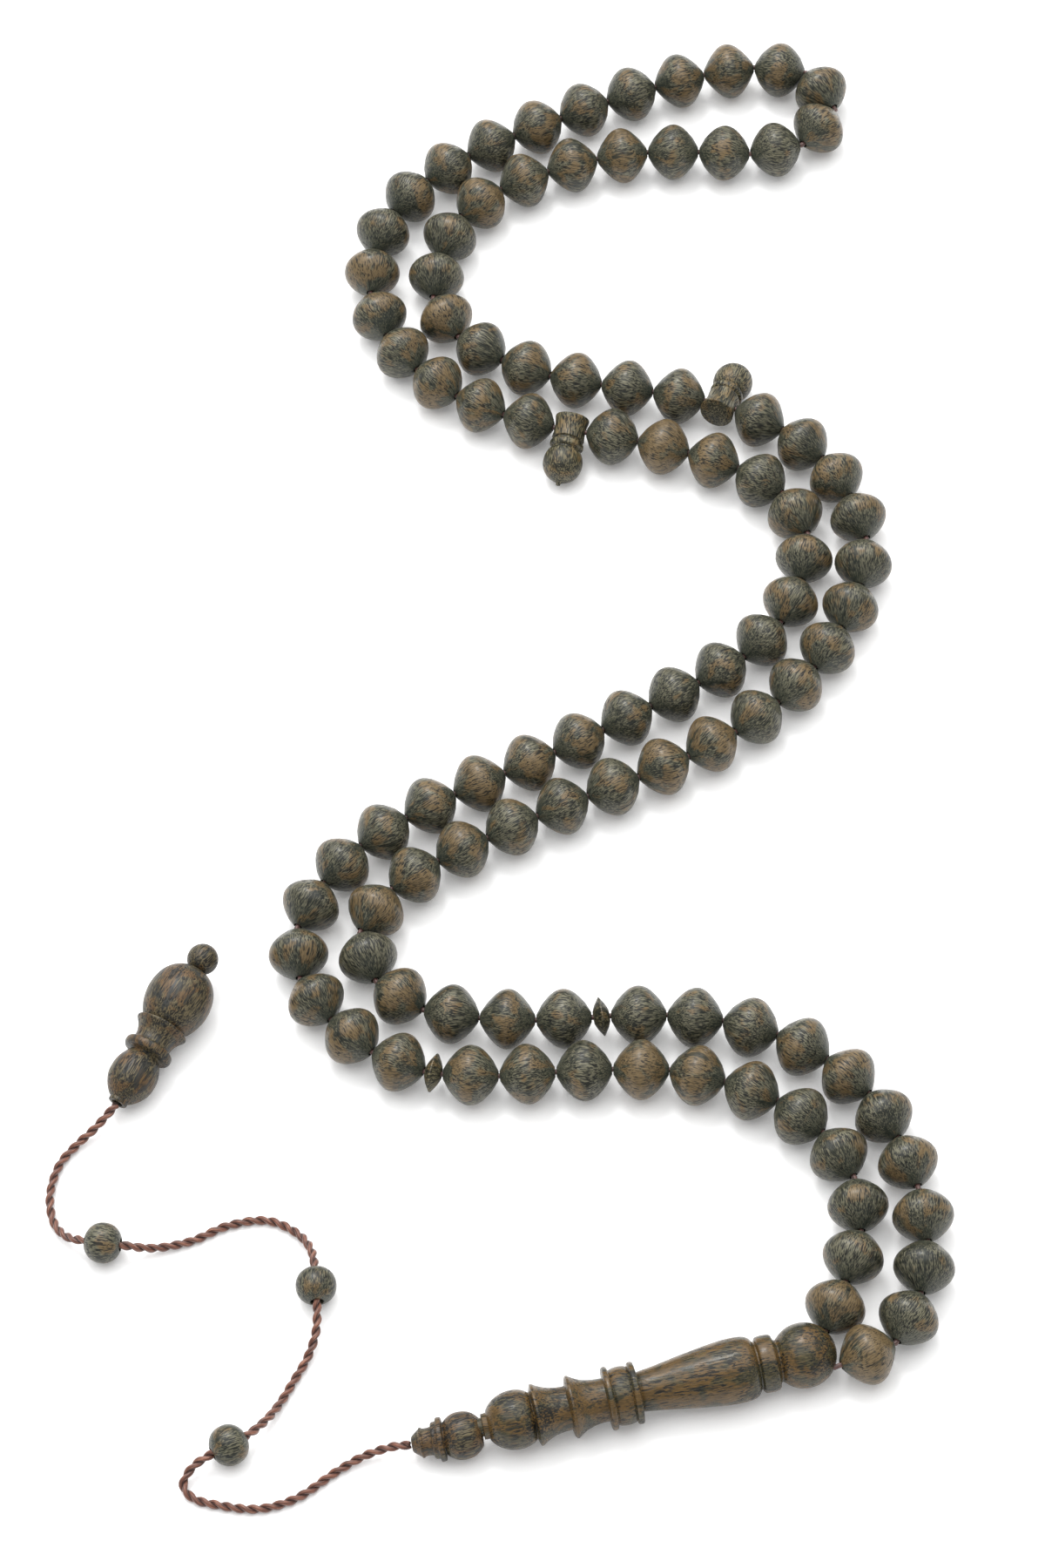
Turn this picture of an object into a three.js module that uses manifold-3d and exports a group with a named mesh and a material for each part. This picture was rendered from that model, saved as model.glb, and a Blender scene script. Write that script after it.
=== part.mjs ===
// A misbaha: a string of ninety-nine turned wooden prayer beads, laid out flat in a doubled S.
// The loop cord leaves the long head piece by two drilled holes, carries three groups of
// thirty-three beads parted by two dividers, with a thin counting disc after the eleventh bead
// from either end, and comes back to the head. A twisted drop cord with three small beads and a
// turned finial hangs from the cap at the head's other end.
// Millimetres, +Z up. The strand lies on the plane Z = 0, and +Y runs along the laid-out strand
// from the head towards the far turn.
import * as THREE from 'three';
import { mergeVertices } from 'three/addons/utils/BufferGeometryUtils.js';
import Module from 'manifold-3d';

const wasm = await Module();
wasm.setup();

// ---------------------------------------------------------------- counting beads
const BEAD_COUNT = 99;
const BEAD_RADIUS = 5;
const BEAD_LENGTH = 9;
const BEAD_CROWN_HALF = 1;
const BEAD_POLE_RADIUS = 1;
const BEAD_BORE_RADIUS = 0.8;
const BEAD_SIDES = 8;

// ---------------------------------------------------------------- pieces between the beads
const DISC_AFTER = [11, 88];
const DISC_RADIUS = 3.25;
const DISC_LENGTH = 2.7;
const DISC_HUB_RADIUS = 1.2;
const DISC_RIM_HALF = 0.15;
const DISC_SIDES = 12;
const DIVIDER_AFTER = [33, 66];
const DIVIDER_SLOT = 5.6;
const DIVIDER_TILT = THREE.MathUtils.degToRad(13);
const DIVIDER_SIDES = 12;

// ---------------------------------------------------------------- cords
const LOOP_CORD_RADIUS = 0.45;
const LOOP_CORD_SIDES = 6;
const DROP_CORD_RADIUS = 0.75;
const DROP_CORD_SIDES = 8;
const DROP_CORD_STEPS = 66;

// ---------------------------------------------------------------- spaces on the strand
const HALF_GAP = 0.17;
const POLE_CLEARANCE = 0.06;
const FOLD_HALF_GAP = 0.53;
const HEAD_GAP = 1.2;
const RETURN_GAP = 0.35;
const CORD_END_GAP = 0.22;
const TOUCH_GAP = 0.3;

// The strand folds at four pairs of gaps: after this bead on the outgoing run and on the return.
const FOLDS = [[4, 96], [16, 84], [29, 71], [39, 61]];

// Beads that are strung as single pieces; the others are strung in joined lengths.
const SINGLE_BEADS = [
  ...Array.from({ length: 11 }, (_, i) => i + 1),
  33, 34, 50, 66, 67,
  ...Array.from({ length: 11 }, (_, i) => i + 89),
];
const JOINED_RUNS = [
  [12, 16], [17, 29], [30, 32], [35, 39], [40, 49],
  [51, 61], [62, 65], [68, 71], [72, 84], [85, 88],
];

// Where the loop cord crosses from bead to bead, from the head's first hole out to the far turn
// and back to its second hole: X and Y, at the height of the beads' middles.
const STRAND_ROUTE = [
  [40.8, -116.1], [50.9, -112.8], [56.1, -103.6], [57.9, -94.8], [57.5, -85.8], [51.4, -67.7],
  [38, -55.5], [19.5, -49.9], [-1.5, -48.8], [-20.7, -44.5], [-27.6, -37.7], [-28.9, -29],
  [-23, -21.3], [2.5, -9.5], [20, -3.6], [37, 3.8], [51.6, 15.7], [61, 32], [62.7, 41.5],
  [56.3, 59], [42.5, 70.5], [27.5, 76], [9.5, 81.7], [-5.7, 92.8], [-8.3, 102], [-1.4, 118.9],
  [15.5, 127], [34, 129], [53, 126.5], [63, 128.9], [67.6, 137], [62, 144.8], [52.5, 146.5],
  [34, 143.7], [16.5, 138.2], [-0.7, 131.3], [-15.3, 119], [-19.2, 100.5], [-10.7, 83.2],
  [4.5, 72.4], [27.5, 64.5], [44, 56.5], [50.3, 50], [52.8, 41.5], [46, 24.3], [38.8, 18.1],
  [22, 9.8], [4.5, 2], [-12.6, -4.4], [-29.2, -13.7], [-39.7, -28.5], [-39, -38], [-27, -53.2],
  [-14.5, -58], [2.5, -58.9], [21, -60.6], [38, -68.5], [44.1, -75.3], [47.8, -84],
  [47.5, -92.9], [44.1, -101.4], [39.9, -109.9],
];
const ROUTE_SAMPLES = 4000;

// The middle of the laid-out strand, head piece and cap on the table: the part's own origin.
const STRAND_MIDDLE = [12.86, 12.88];

// ---------------------------------------------------------------- head piece (imame)
const HEAD_SIDES = 16;
const HEAD_BALL_RADIUS = 5.2;
const HEAD_BELLY_RADIUS = 5.2;
const HEAD_BORE_RADIUS = 1.1;
const HEAD_HOLE_RADIUS = 0.85;
const HEAD_HOLE_ANGLE = THREE.MathUtils.degToRad(37);
const HEAD_CENTRE = [36.27, -113.57];
const HEAD_ANGLE = THREE.MathUtils.degToRad(188.3);
// Outline from the neck behind the ball to the lip: distance from the ball's middle, and radius.
const HEAD_OUTLINE = [
  [4.1, 3.3], [4.7, 4.4], [7.3, 4.4], [7.7, 4], [8, 4.3], [8.9, 4.95], [10.2, HEAD_BELLY_RADIUS],
  [12.6, HEAD_BELLY_RADIUS], [15.2, 4.9], [19.4, 4.25], [23.6, 3.55], [26.7, 3.15],
  [26.9, 4.95], [27.7, 4.95], [27.9, 4.3], [29.4, 4.65], [30.8, 4.3],
  [31, 5.05], [31.9, 5.05], [32.1, 3.45], [34.4, 3.65], [36.2, 4.3], [37.3, 5], [37.7, 4.95],
  [38, 3.5], [40.3, 3.7], [41.9, 4.3], [43, 4.95], [43.4, 4.9],
  [43.7, 3.7], [45.2, 4.5], [46.6, 4.7], [48.3, 4.5], [50, 3.6], [51, 2.5], [51.1, 2.1], [51.9, 2.1],
];

// ---------------------------------------------------------------- cap below the head
const CAP_SIDES = 12;
const CAP_START = [-15.43, -121.46];
const CAP_ANGLE = THREE.MathUtils.degToRad(183.5);
const CAP_TILT = THREE.MathUtils.degToRad(-4.5);
const CAP_BALL_AT = 2.85;
const CAP_BALL_HEIGHT = 3.85;
const CAP_RECESS_RADIUS = 1.9;
const CAP_RECESS_DEPTH = 3.5;
const CAP_BORE_RADIUS = 0.95;
const CAP_OUTLINE = [
  [0, 2.3], [0.8, 3.2], [1.8, 3.7], [CAP_BALL_AT, 3.8], [4, 3.65], [5, 3.1], [5.6, 2.6],
  [5.9, 3.5], [6.7, 3.5], [6.8, 2.95], [7.5, 2.9], [7.7, 2.3], [8.6, 2.2], [9.4, 2.4], [10.9, 1.35],
];
const KNOT_RADIUS = 1.5;
const KNOT_AT = 1.75;
const KNOT_TAIL_RADIUS = 0.6;

// ---------------------------------------------------------------- drop cord, its beads and finial
const DROP_BEAD_RADIUS = 3.3;
const DROP_BEAD_LENGTH = 5.8;
const DROP_BEAD_CROWN_HALF = 0.6;
const DROP_BEAD_POLE_RADIUS = 1.6;
const DROP_BEAD_BORE_RADIUS = 1.15;
const DROP_BEADS = [
  { middle: [-55, -119.5], angle: THREE.MathUtils.degToRad(25) },
  { middle: [-39.8, -92.9], angle: THREE.MathUtils.degToRad(90) },
  { middle: [-73.6, -81.9], angle: THREE.MathUtils.degToRad(167) },
];
const FINIAL_SIDES = 12;
const FINIAL_START = [-70.4, -56.7, 3.6];
const FINIAL_ANGLE = THREE.MathUtils.degToRad(57.6);
const FINIAL_TILT = THREE.MathUtils.degToRad(5.4);
const FINIAL_BORE_RADIUS = 1.05;
const FINIAL_OUTLINE = [
  [0, 1.6], [0.6, 1.6], [0.8, 1.75], [2.4, 3.2], [4, 3.9], [5.2, 4], [7.2, 3.75], [8.8, 3],
  [9.4, 2.9], [9.7, 3.9], [10.2, 4.15], [10.8, 4.1], [11.2, 3.5], [12.3, 3], [13.4, 3.3],
  [14.5, 4.1], [14.9, 4.25], [15.1, 3.9], [17.5, 5.1], [20.6, 5.5], [23.4, 4.9], [25.4, 3.4],
  [26.4, 1.9],
];
const FINIAL_BALL_AT = 29.1;
const FINIAL_BALL_RADIUS = 2.35;

// The drop cord leaves the cap, comes down to the table and lies there in loose curves, and it
// rises to the middle of each small bead and to the finial's mouth.
const DROP_CORD_ROUTE = [
  [-29.3, -121.9, 2.6], [-33.9, -122.5, 1.4], [-38.3, -124.4, 0.8], [-45.1, -128.5, 0.8],
  [-50.9, -129.7, 0.8], [-56.8, -128.6, 0.8], [-61.3, -126.8, 0.8], [-62.6, -124.6, 1.1],
  [-61, -122.3, 2.2], [-57.8, -120.8, 3.3], [-55, -119.5, 3.3], [-52.2, -118.2, 3.3],
  [-49.2, -115.4, 2.2], [-46.9, -112.2, 1], [-44.3, -108.1, 0.8], [-41.9, -104.3, 1.1],
  [-40.3, -100.6, 2.4], [-39.8, -96.1, 3.3], [-39.8, -92.9, 3.3], [-39.8, -89.7, 3.3],
  [-40.4, -85.6, 2.2], [-42.5, -82, 1], [-47.1, -79.2, 0.8], [-53.6, -79.5, 0.8],
  [-59.6, -81.7, 0.8], [-65.7, -82.7, 1.5], [-70.7, -82.6, 3.3], [-73.6, -81.9, 3.3],
  [-76.5, -81.2, 3.3], [-79.5, -79.5, 2], [-81.6, -76.2, 0.9], [-82.1, -71.2, 0.8],
  [-80.4, -65.7, 0.8], [-77.6, -62.5, 1], [-74.3, -60.1, 2],
];

// ---------------------------------------------------------------- finishes
const OLIVE = new THREE.MeshStandardMaterial({ color: 0x6f6f58, roughness: 0.55, metalness: 0 });
const HONEY = new THREE.MeshStandardMaterial({ color: 0x85704c, roughness: 0.5, metalness: 0 });
const COPPER_SILK = new THREE.MeshStandardMaterial({ color: 0xa0614a, roughness: 0.7, metalness: 0 });
const ROSE_SILK = new THREE.MeshStandardMaterial({ color: 0xb0756a, roughness: 0.8, metalness: 0 });

// ---------------------------------------------------------------- shaping
const UP = new THREE.Vector3(0, 0, 1);
const group = new THREE.Group();

// The direction at an angle from +X in the table plane, tilted up out of it.
function direction(angle, tilt = 0) {
  return new THREE.Vector3(
    Math.cos(angle) * Math.cos(tilt),
    Math.sin(angle) * Math.cos(tilt),
    Math.sin(tilt),
  );
}

// Turns a closed geometry inside out if its faces point inwards.
function facingOut(geometry) {
  const position = geometry.attributes.position;
  const index = geometry.index.array;
  const corners = [new THREE.Vector3(), new THREE.Vector3(), new THREE.Vector3()];
  let volume = 0;
  for (let i = 0; i < index.length; i += 3) {
    corners.forEach((corner, k) => corner.fromBufferAttribute(position, index[i + k]));
    volume += corners[0].dot(corners[1].cross(corners[2]));
  }
  if (volume < 0) {
    for (let i = 0; i < index.length; i += 3) {
      [index[i], index[i + 2]] = [index[i + 2], index[i]];
    }
  }
  return geometry;
}

// A solid turned about local Y from an outline of [distance along Y, radius].
function turned(outline, sides, turn = 0) {
  const profile = outline.map(([along, radius]) => new THREE.Vector2(radius, along));
  return facingOut(new THREE.LatheGeometry(profile, sides, turn));
}

// The same, with a straight bore all the way through.
function turnedWithBore(outline, boreRadius, sides, turn = 0) {
  const first = outline[0];
  const last = outline.at(-1);
  return turned([...outline, [last[0], boreRadius], [first[0], boreRadius], first], sides, turn);
}

// A solid turned about a bent line. Each ring is one circle of it: a point, a direction, a radius.
function turnedAlong(rings, sides) {
  const profile = rings.map((ring, index) => new THREE.Vector2(ring.radius, index));
  const geometry = new THREE.LatheGeometry(profile, sides);
  const position = geometry.attributes.position;
  for (let i = 0; i < position.count; i++) {
    const ring = rings[Math.round(position.getY(i))];
    const side = new THREE.Vector3().crossVectors(ring.along, UP).normalize();
    const rise = new THREE.Vector3().crossVectors(side, ring.along);
    const corner = ring.point.clone();
    corner.addScaledVector(side, position.getX(i));
    corner.addScaledVector(rise, position.getZ(i));
    position.setXYZ(i, corner.x, corner.y, corner.z);
  }
  return facingOut(geometry);
}

function toManifold(geometry) {
  const bare = geometry.clone();
  bare.deleteAttribute('normal');
  bare.deleteAttribute('uv');
  const merged = mergeVertices(bare, 1e-4);
  const kept = [];
  for (let i = 0; i < merged.index.count; i += 3) {
    const [a, b, c] = [0, 1, 2].map((k) => merged.index.getX(i + k));
    if (a !== b && b !== c && c !== a) kept.push(a, b, c);
  }
  return new wasm.Manifold(new wasm.Mesh({
    numProp: 3,
    vertProperties: new Float32Array(merged.attributes.position.array),
    triVerts: new Uint32Array(kept),
  }));
}

function drilled(geometry, drills) {
  let solid = toManifold(geometry);
  for (const drill of drills) solid = solid.subtract(toManifold(drill));
  const mesh = solid.getMesh();
  const cut = new THREE.BufferGeometry();
  cut.setAttribute('position', new THREE.BufferAttribute(new Float32Array(mesh.vertProperties), 3));
  cut.setIndex(new THREE.BufferAttribute(new Uint32Array(mesh.triVerts), 1));
  return cut;
}

// A drill for a hole from one point to another, in the drilled piece's own axes.
function drill(from, to, radius) {
  const axis = to.clone().sub(from);
  const bit = new THREE.CylinderGeometry(radius, radius, axis.length(), 10);
  bit.applyQuaternion(new THREE.Quaternion().setFromUnitVectors(
    new THREE.Vector3(0, 1, 0), axis.clone().normalize(),
  ));
  bit.translate(...from.clone().lerp(to, 0.5).toArray());
  return bit;
}

// Adds a named mesh whose local Y lies along a direction, with local Z as near up as it can be.
function add(name, geometry, material, point, along) {
  const mesh = new THREE.Mesh(geometry, material);
  mesh.name = name;
  if (point) {
    const side = new THREE.Vector3().crossVectors(along, UP).normalize();
    const rise = new THREE.Vector3().crossVectors(side, along);
    mesh.quaternion.setFromRotationMatrix(new THREE.Matrix4().makeBasis(side, along, rise));
    mesh.position.copy(point);
  }
  group.add(mesh);
  return mesh;
}

const twoDigits = (number) => String(number).padStart(2, '0');

// ---------------------------------------------------------------- threading the strand
const strand = [];
for (let number = 1; number <= BEAD_COUNT; number++) {
  strand.push({ kind: 'bead', number, length: BEAD_LENGTH });
  if (DISC_AFTER.includes(number)) {
    strand.push({ kind: 'disc', number: DISC_AFTER.indexOf(number) + 1, length: DISC_LENGTH });
  }
  if (DIVIDER_AFTER.includes(number)) {
    strand.push({ kind: 'divider', number: DIVIDER_AFTER.indexOf(number) + 1, length: DIVIDER_SLOT });
  }
}

const pieceOf = (bead) => strand.findIndex((piece) => piece.kind === 'bead' && piece.number === bead);

// Crossing k is the gap before piece k, so a fold after bead n is at the next piece's crossing.
const foldCrossings = FOLDS.map((pair) => pair.map((bead) => pieceOf(bead) + 1));
const isFold = (crossing) => foldCrossings.flat().includes(crossing);

const route = new THREE.CatmullRomCurve3(
  STRAND_ROUTE.map(([x, y]) => new THREE.Vector3(x, y, BEAD_RADIUS)), false, 'centripetal',
).getSpacedPoints(ROUTE_SAMPLES);

// Half of the room at each crossing: enough for the beads' ends to pass where the cord bends.
function halfGaps(bends, ease) {
  return bends.map((bend, crossing) => {
    if (crossing === 0) return HEAD_GAP;
    if (crossing === strand.length) return RETURN_GAP;
    const room = BEAD_POLE_RADIUS * Math.tan(bend / 2) + POLE_CLEARANCE;
    return Math.max(HALF_GAP, room, isFold(crossing) ? FOLD_HALF_GAP : 0) + ease;
  });
}

// Walks the route in straight steps, one for each piece, and returns the crossings and what is
// left of the route after the last of them.
function walk(gaps) {
  const crossings = [route[0]];
  const spacing = route[1].distanceTo(route[0]);
  let next = 1;
  strand.forEach((piece, i) => {
    const from = crossings.at(-1);
    const step = gaps[i] + piece.length + gaps[i + 1];
    while (next < route.length - 1 && route[next].distanceTo(from) < step) next++;
    const short = route[next - 1].distanceTo(from);
    const long = route[next].distanceTo(from);
    crossings.push(route[next - 1].clone().lerp(route[next], (step - short) / (long - short)));
  });
  const left = (route.length - 1 - next) * spacing;
  return { crossings, left: left + route[next].distanceTo(crossings.at(-1)) * (left > 0 ? 1 : -1) };
}

// Spreads the cord's spare length evenly over the crossings, so that the strand just fills it.
function threaded() {
  let bends = new Array(strand.length + 1).fill(0);
  let result;
  for (let pass = 0; pass < 4; pass++) {
    let [low, high] = [-0.3, 0.5];
    for (let i = 0; i < 40; i++) {
      const middle = (low + high) / 2;
      if (walk(halfGaps(bends, middle)).left > 0) low = middle;
      else high = middle;
    }
    const gaps = halfGaps(bends, low);
    const { crossings } = walk(gaps);
    const alongs = strand.map((_, i) => crossings[i + 1].clone().sub(crossings[i]).normalize());
    bends = bends.map((_, i) => (alongs[i - 1] && alongs[i] ? alongs[i - 1].angleTo(alongs[i]) : 0));
    result = { crossings, alongs, gaps };
  }
  return result;
}

const { crossings, alongs, gaps } = threaded();
strand.forEach((piece, i) => {
  piece.along = alongs[i];
  piece.middle = crossings[i].clone().addScaledVector(piece.along, gaps[i] + piece.length / 2);
});

// ---------------------------------------------------------------- counting beads
const beadOutline = [
  [-BEAD_LENGTH / 2, BEAD_POLE_RADIUS],
  [-BEAD_CROWN_HALF, BEAD_RADIUS],
  [BEAD_CROWN_HALF, BEAD_RADIUS],
  [BEAD_LENGTH / 2, BEAD_POLE_RADIUS],
];

for (const number of SINGLE_BEADS) {
  const piece = strand[pieceOf(number)];
  const geometry = turnedWithBore(beadOutline, BEAD_BORE_RADIUS, BEAD_SIDES);
  add(`bead_${twoDigits(number)}`, geometry, OLIVE, piece.middle, piece.along);
}

// A ring of the strand at a distance from a piece's middle.
const ringAt = (piece, distance, radius) => ({
  point: piece.middle.clone().addScaledVector(piece.along, distance),
  along: piece.along,
  radius,
});

// A ring of a bore or cord at a crossing, square to both of its neighbours.
const ringAtCrossing = (crossing, radius) => ({
  point: crossings[crossing],
  along: alongs[crossing - 1].clone().add(alongs[crossing] ?? alongs[crossing - 1]).normalize(),
  radius,
});

for (const [first, last] of JOINED_RUNS) {
  const from = pieceOf(first);
  const to = pieceOf(last);
  const outside = [];
  const bore = [ringAt(strand[to], BEAD_LENGTH / 2, BEAD_BORE_RADIUS)];
  for (let i = from; i <= to; i++) {
    for (const [distance, radius] of beadOutline) outside.push(ringAt(strand[i], distance, radius));
  }
  for (let i = to; i > from; i--) bore.push(ringAtCrossing(i, BEAD_BORE_RADIUS));
  bore.push(ringAt(strand[from], -BEAD_LENGTH / 2, BEAD_BORE_RADIUS));
  const geometry = turnedAlong([...outside, ...bore, outside[0]], BEAD_SIDES);
  add(`beads_${twoDigits(first)}_to_${twoDigits(last)}`, geometry, OLIVE);
}

// ---------------------------------------------------------------- counting discs
const discOutline = [
  [-DISC_LENGTH / 2, DISC_HUB_RADIUS],
  [-DISC_RIM_HALF, DISC_RADIUS],
  [DISC_RIM_HALF, DISC_RADIUS],
  [DISC_LENGTH / 2, DISC_HUB_RADIUS],
];
for (const piece of strand.filter(({ kind }) => kind === 'disc')) {
  const geometry = turnedWithBore(discOutline, BEAD_BORE_RADIUS, DISC_SIDES);
  add(`disc_${piece.number}`, geometry, HONEY, piece.middle, piece.along);
}

// ---------------------------------------------------------------- dividers
// Distances along a divider from its cross bore: a waisted foot, a band between two grooves, and
// a ball with a nipple at its end.
const dividerOutline = [
  [-2.3, 0], [-2.3, 3], [0, 2.7], [1.8, 2.85], [2, 2.5], [2.4, 2.5], [2.5, 2.9], [3.5, 2.9],
  [3.6, 2.5], [4, 2.5], [5, 3.2], [6.7, 3.45], [8.4, 3], [9.6, 1.8], [10.1, 0.5], [10.7, 0.35],
  [10.7, 0],
];
const crossBore = drill(
  new THREE.Vector3(-DIVIDER_SLOT, 0, 0), new THREE.Vector3(DIVIDER_SLOT, 0, 0), BEAD_BORE_RADIUS,
);
for (const piece of strand.filter(({ kind }) => kind === 'divider')) {
  const side = new THREE.Vector3().crossVectors(piece.along, UP);
  const axis = side.multiplyScalar(Math.cos(DIVIDER_TILT)).addScaledVector(UP, -Math.sin(DIVIDER_TILT));
  const geometry = drilled(turned(dividerOutline, DIVIDER_SIDES), [crossBore]);
  add(`divider_${piece.number}`, geometry, HONEY, piece.middle, axis);
}

// ---------------------------------------------------------------- head piece
const headHeight = HEAD_BELLY_RADIUS * Math.cos(Math.PI / HEAD_SIDES);
const headCentre = new THREE.Vector3(...HEAD_CENTRE, headHeight);
const headAxis = direction(HEAD_ANGLE);
const headBall = [];
const BALL_RINGS = 6;
const NECK_ANGLE = THREE.MathUtils.degToRad(140);
for (let i = 0; i < BALL_RINGS; i++) {
  const angle = (NECK_ANGLE * i) / BALL_RINGS;
  headBall.push([-HEAD_BALL_RADIUS * Math.cos(angle), HEAD_BALL_RADIUS * Math.sin(angle)]);
}
const headLip = HEAD_OUTLINE.at(-1)[0];
const headSolid = turned(
  [...headBall, ...HEAD_OUTLINE, [headLip, HEAD_BORE_RADIUS], [0, HEAD_BORE_RADIUS], [0, 0]],
  HEAD_SIDES, Math.PI / HEAD_SIDES,
);
// In the head's own axes the holes open backwards and to either side, one for each end of the loop.
const holeEnds = [-1, 1].map((hand) => new THREE.Vector3(
  hand * Math.sin(HEAD_HOLE_ANGLE), -Math.cos(HEAD_HOLE_ANGLE), 0,
));
const headHoles = holeEnds.map((end) => drill(
  end.clone().multiplyScalar(-0.3), end.clone().multiplyScalar(HEAD_BALL_RADIUS + 1), HEAD_HOLE_RADIUS,
));
add('imame', drilled(headSolid, headHoles), HONEY, headCentre, headAxis);

// ---------------------------------------------------------------- loop cord
// A length of the cord through rings, closed at both ends.
function cordLength(name, rings) {
  const closed = [{ ...rings[0], radius: 0 }, ...rings, { ...rings.at(-1), radius: 0 }];
  add(name, turnedAlong(closed, LOOP_CORD_SIDES), ROSE_SILK);
}

// The cord's rings at the crossings from one to another, both included.
const cordRings = (first, last) => (
  Array.from({ length: last - first + 1 }, (_, i) => ringAtCrossing(first + i, LOOP_CORD_RADIUS))
);

// The cord's cut ends either side of a fold.
const afterFold = (crossing) => ({
  point: crossings[crossing].clone().addScaledVector(alongs[crossing], CORD_END_GAP),
  along: alongs[crossing],
  radius: LOOP_CORD_RADIUS,
});
const beforeFold = (crossing) => ({
  point: crossings[crossing].clone().addScaledVector(alongs[crossing - 1], -CORD_END_GAP),
  along: alongs[crossing - 1],
  radius: LOOP_CORD_RADIUS,
});

// The cord's ends inside the head, just clear of each other and of the strands in its long bore.
const HOLE_DEPTH = 1.7;
const inHole = (mouth, outwards) => {
  const along = mouth.clone().sub(headCentre).normalize();
  return {
    point: headCentre.clone().addScaledVector(along, HOLE_DEPTH),
    along: along.multiplyScalar(outwards ? 1 : -1),
    radius: LOOP_CORD_RADIUS,
  };
};

// The cord where it bends at a mouth of the head, between the hole's direction and the strand's.
const atMouth = (crossing, holeAlong, strandAlong) => ({
  point: crossings[crossing],
  along: holeAlong.clone().add(strandAlong).normalize(),
  radius: LOOP_CORD_RADIUS,
});

const lastCrossing = strand.length;
const [headOut, headBack] = foldCrossings[0];
const outStart = inHole(crossings[0], true);
cordLength('loop_cord_head_out', [
  outStart, atMouth(0, outStart.along, alongs[0]), ...cordRings(1, headOut - 1), beforeFold(headOut),
]);
const backEnd = inHole(crossings[lastCrossing], false);
cordLength('loop_cord_head_back', [
  afterFold(headBack), ...cordRings(headBack + 1, lastCrossing - 1),
  atMouth(lastCrossing, backEnd.along, alongs[lastCrossing - 1]), backEnd,
]);

// Between two cuts, the cord runs from just after the one to just before the other.
const cutLength = (name, from, to) => {
  cordLength(name, [afterFold(from), ...cordRings(from + 1, to - 1), beforeFold(to)]);
};
for (let fold = 0; fold + 1 < FOLDS.length; fold++) {
  const [nearOut, nearBack] = foldCrossings[fold];
  const [farOut, farBack] = foldCrossings[fold + 1];
  cutLength(`loop_cord_reach_${fold + 1}_out`, nearOut, farOut);
  cutLength(`loop_cord_reach_${fold + 1}_back`, farBack, nearBack);
}
cutLength('loop_cord_far_turn', ...foldCrossings.at(-1));

// The two ends of the loop cord lie together in the head's long bore.
const boreFrom = HEAD_BORE_RADIUS + 0.5;
const boreTo = headLip - 0.1;
add('cord_in_imame', turned(
  [[boreFrom, 0], [boreFrom, DROP_CORD_RADIUS], [boreTo, DROP_CORD_RADIUS], [boreTo, 0]], LOOP_CORD_SIDES,
), ROSE_SILK, headCentre, headAxis);

// ---------------------------------------------------------------- cap and the knot inside it
const capAxis = direction(CAP_ANGLE, CAP_TILT);
const capStart = new THREE.Vector3(
  ...CAP_START, CAP_BALL_HEIGHT - CAP_BALL_AT * Math.sin(CAP_TILT),
);
const capEnd = CAP_OUTLINE.at(-1)[0];
add('cap', turned([
  ...CAP_OUTLINE, [capEnd, CAP_BORE_RADIUS], [CAP_RECESS_DEPTH, CAP_BORE_RADIUS],
  [CAP_RECESS_DEPTH, CAP_RECESS_RADIUS], [0, CAP_RECESS_RADIUS], CAP_OUTLINE[0],
], CAP_SIDES), HONEY, capStart, capAxis);

const knotOutline = [];
const KNOT_RINGS = 5;
for (let i = 0; i < KNOT_RINGS; i++) {
  const angle = (Math.PI * i) / KNOT_RINGS;
  knotOutline.push([KNOT_AT - KNOT_RADIUS * Math.cos(angle), KNOT_RADIUS * Math.sin(angle)]);
}
const knotTailEnd = capEnd - 0.2;
knotOutline.push(
  [KNOT_AT + KNOT_RADIUS * 0.9, KNOT_TAIL_RADIUS], [knotTailEnd, KNOT_TAIL_RADIUS], [knotTailEnd, 0],
);
add('end_knot', turned(knotOutline, LOOP_CORD_SIDES), COPPER_SILK, capStart, capAxis);

// ---------------------------------------------------------------- drop cord
const capTip = capStart.clone().addScaledVector(capAxis, capEnd);
const finialStart = new THREE.Vector3(...FINIAL_START);
const finialAxis = direction(FINIAL_ANGLE, FINIAL_TILT);
const dropRoute = new THREE.CatmullRomCurve3([
  capTip.clone().addScaledVector(capAxis, TOUCH_GAP),
  ...DROP_CORD_ROUTE.map((point) => new THREE.Vector3(...point)),
  finialStart.clone().addScaledVector(finialAxis, -TOUCH_GAP),
], false, 'centripetal');
const cordSection = new THREE.Shape();
for (let i = 0; i < DROP_CORD_SIDES; i++) {
  const angle = ((i + 0.5) * 2 * Math.PI) / DROP_CORD_SIDES;
  const corner = [DROP_CORD_RADIUS * Math.cos(angle), DROP_CORD_RADIUS * Math.sin(angle)];
  if (i) cordSection.lineTo(...corner);
  else cordSection.moveTo(...corner);
}
const dropCord = new THREE.ExtrudeGeometry(cordSection, { steps: DROP_CORD_STEPS, extrudePath: dropRoute });
add('drop_cord', dropCord, COPPER_SILK);

const dropBeadOutline = [
  [-DROP_BEAD_LENGTH / 2, DROP_BEAD_POLE_RADIUS],
  [-DROP_BEAD_CROWN_HALF, DROP_BEAD_RADIUS],
  [DROP_BEAD_CROWN_HALF, DROP_BEAD_RADIUS],
  [DROP_BEAD_LENGTH / 2, DROP_BEAD_POLE_RADIUS],
];
DROP_BEADS.forEach(({ middle, angle }, i) => {
  const geometry = turnedWithBore(dropBeadOutline, DROP_BEAD_BORE_RADIUS, BEAD_SIDES);
  const point = new THREE.Vector3(...middle, DROP_BEAD_RADIUS);
  add(`drop_bead_${i + 1}`, geometry, OLIVE, point, direction(angle));
});

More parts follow.
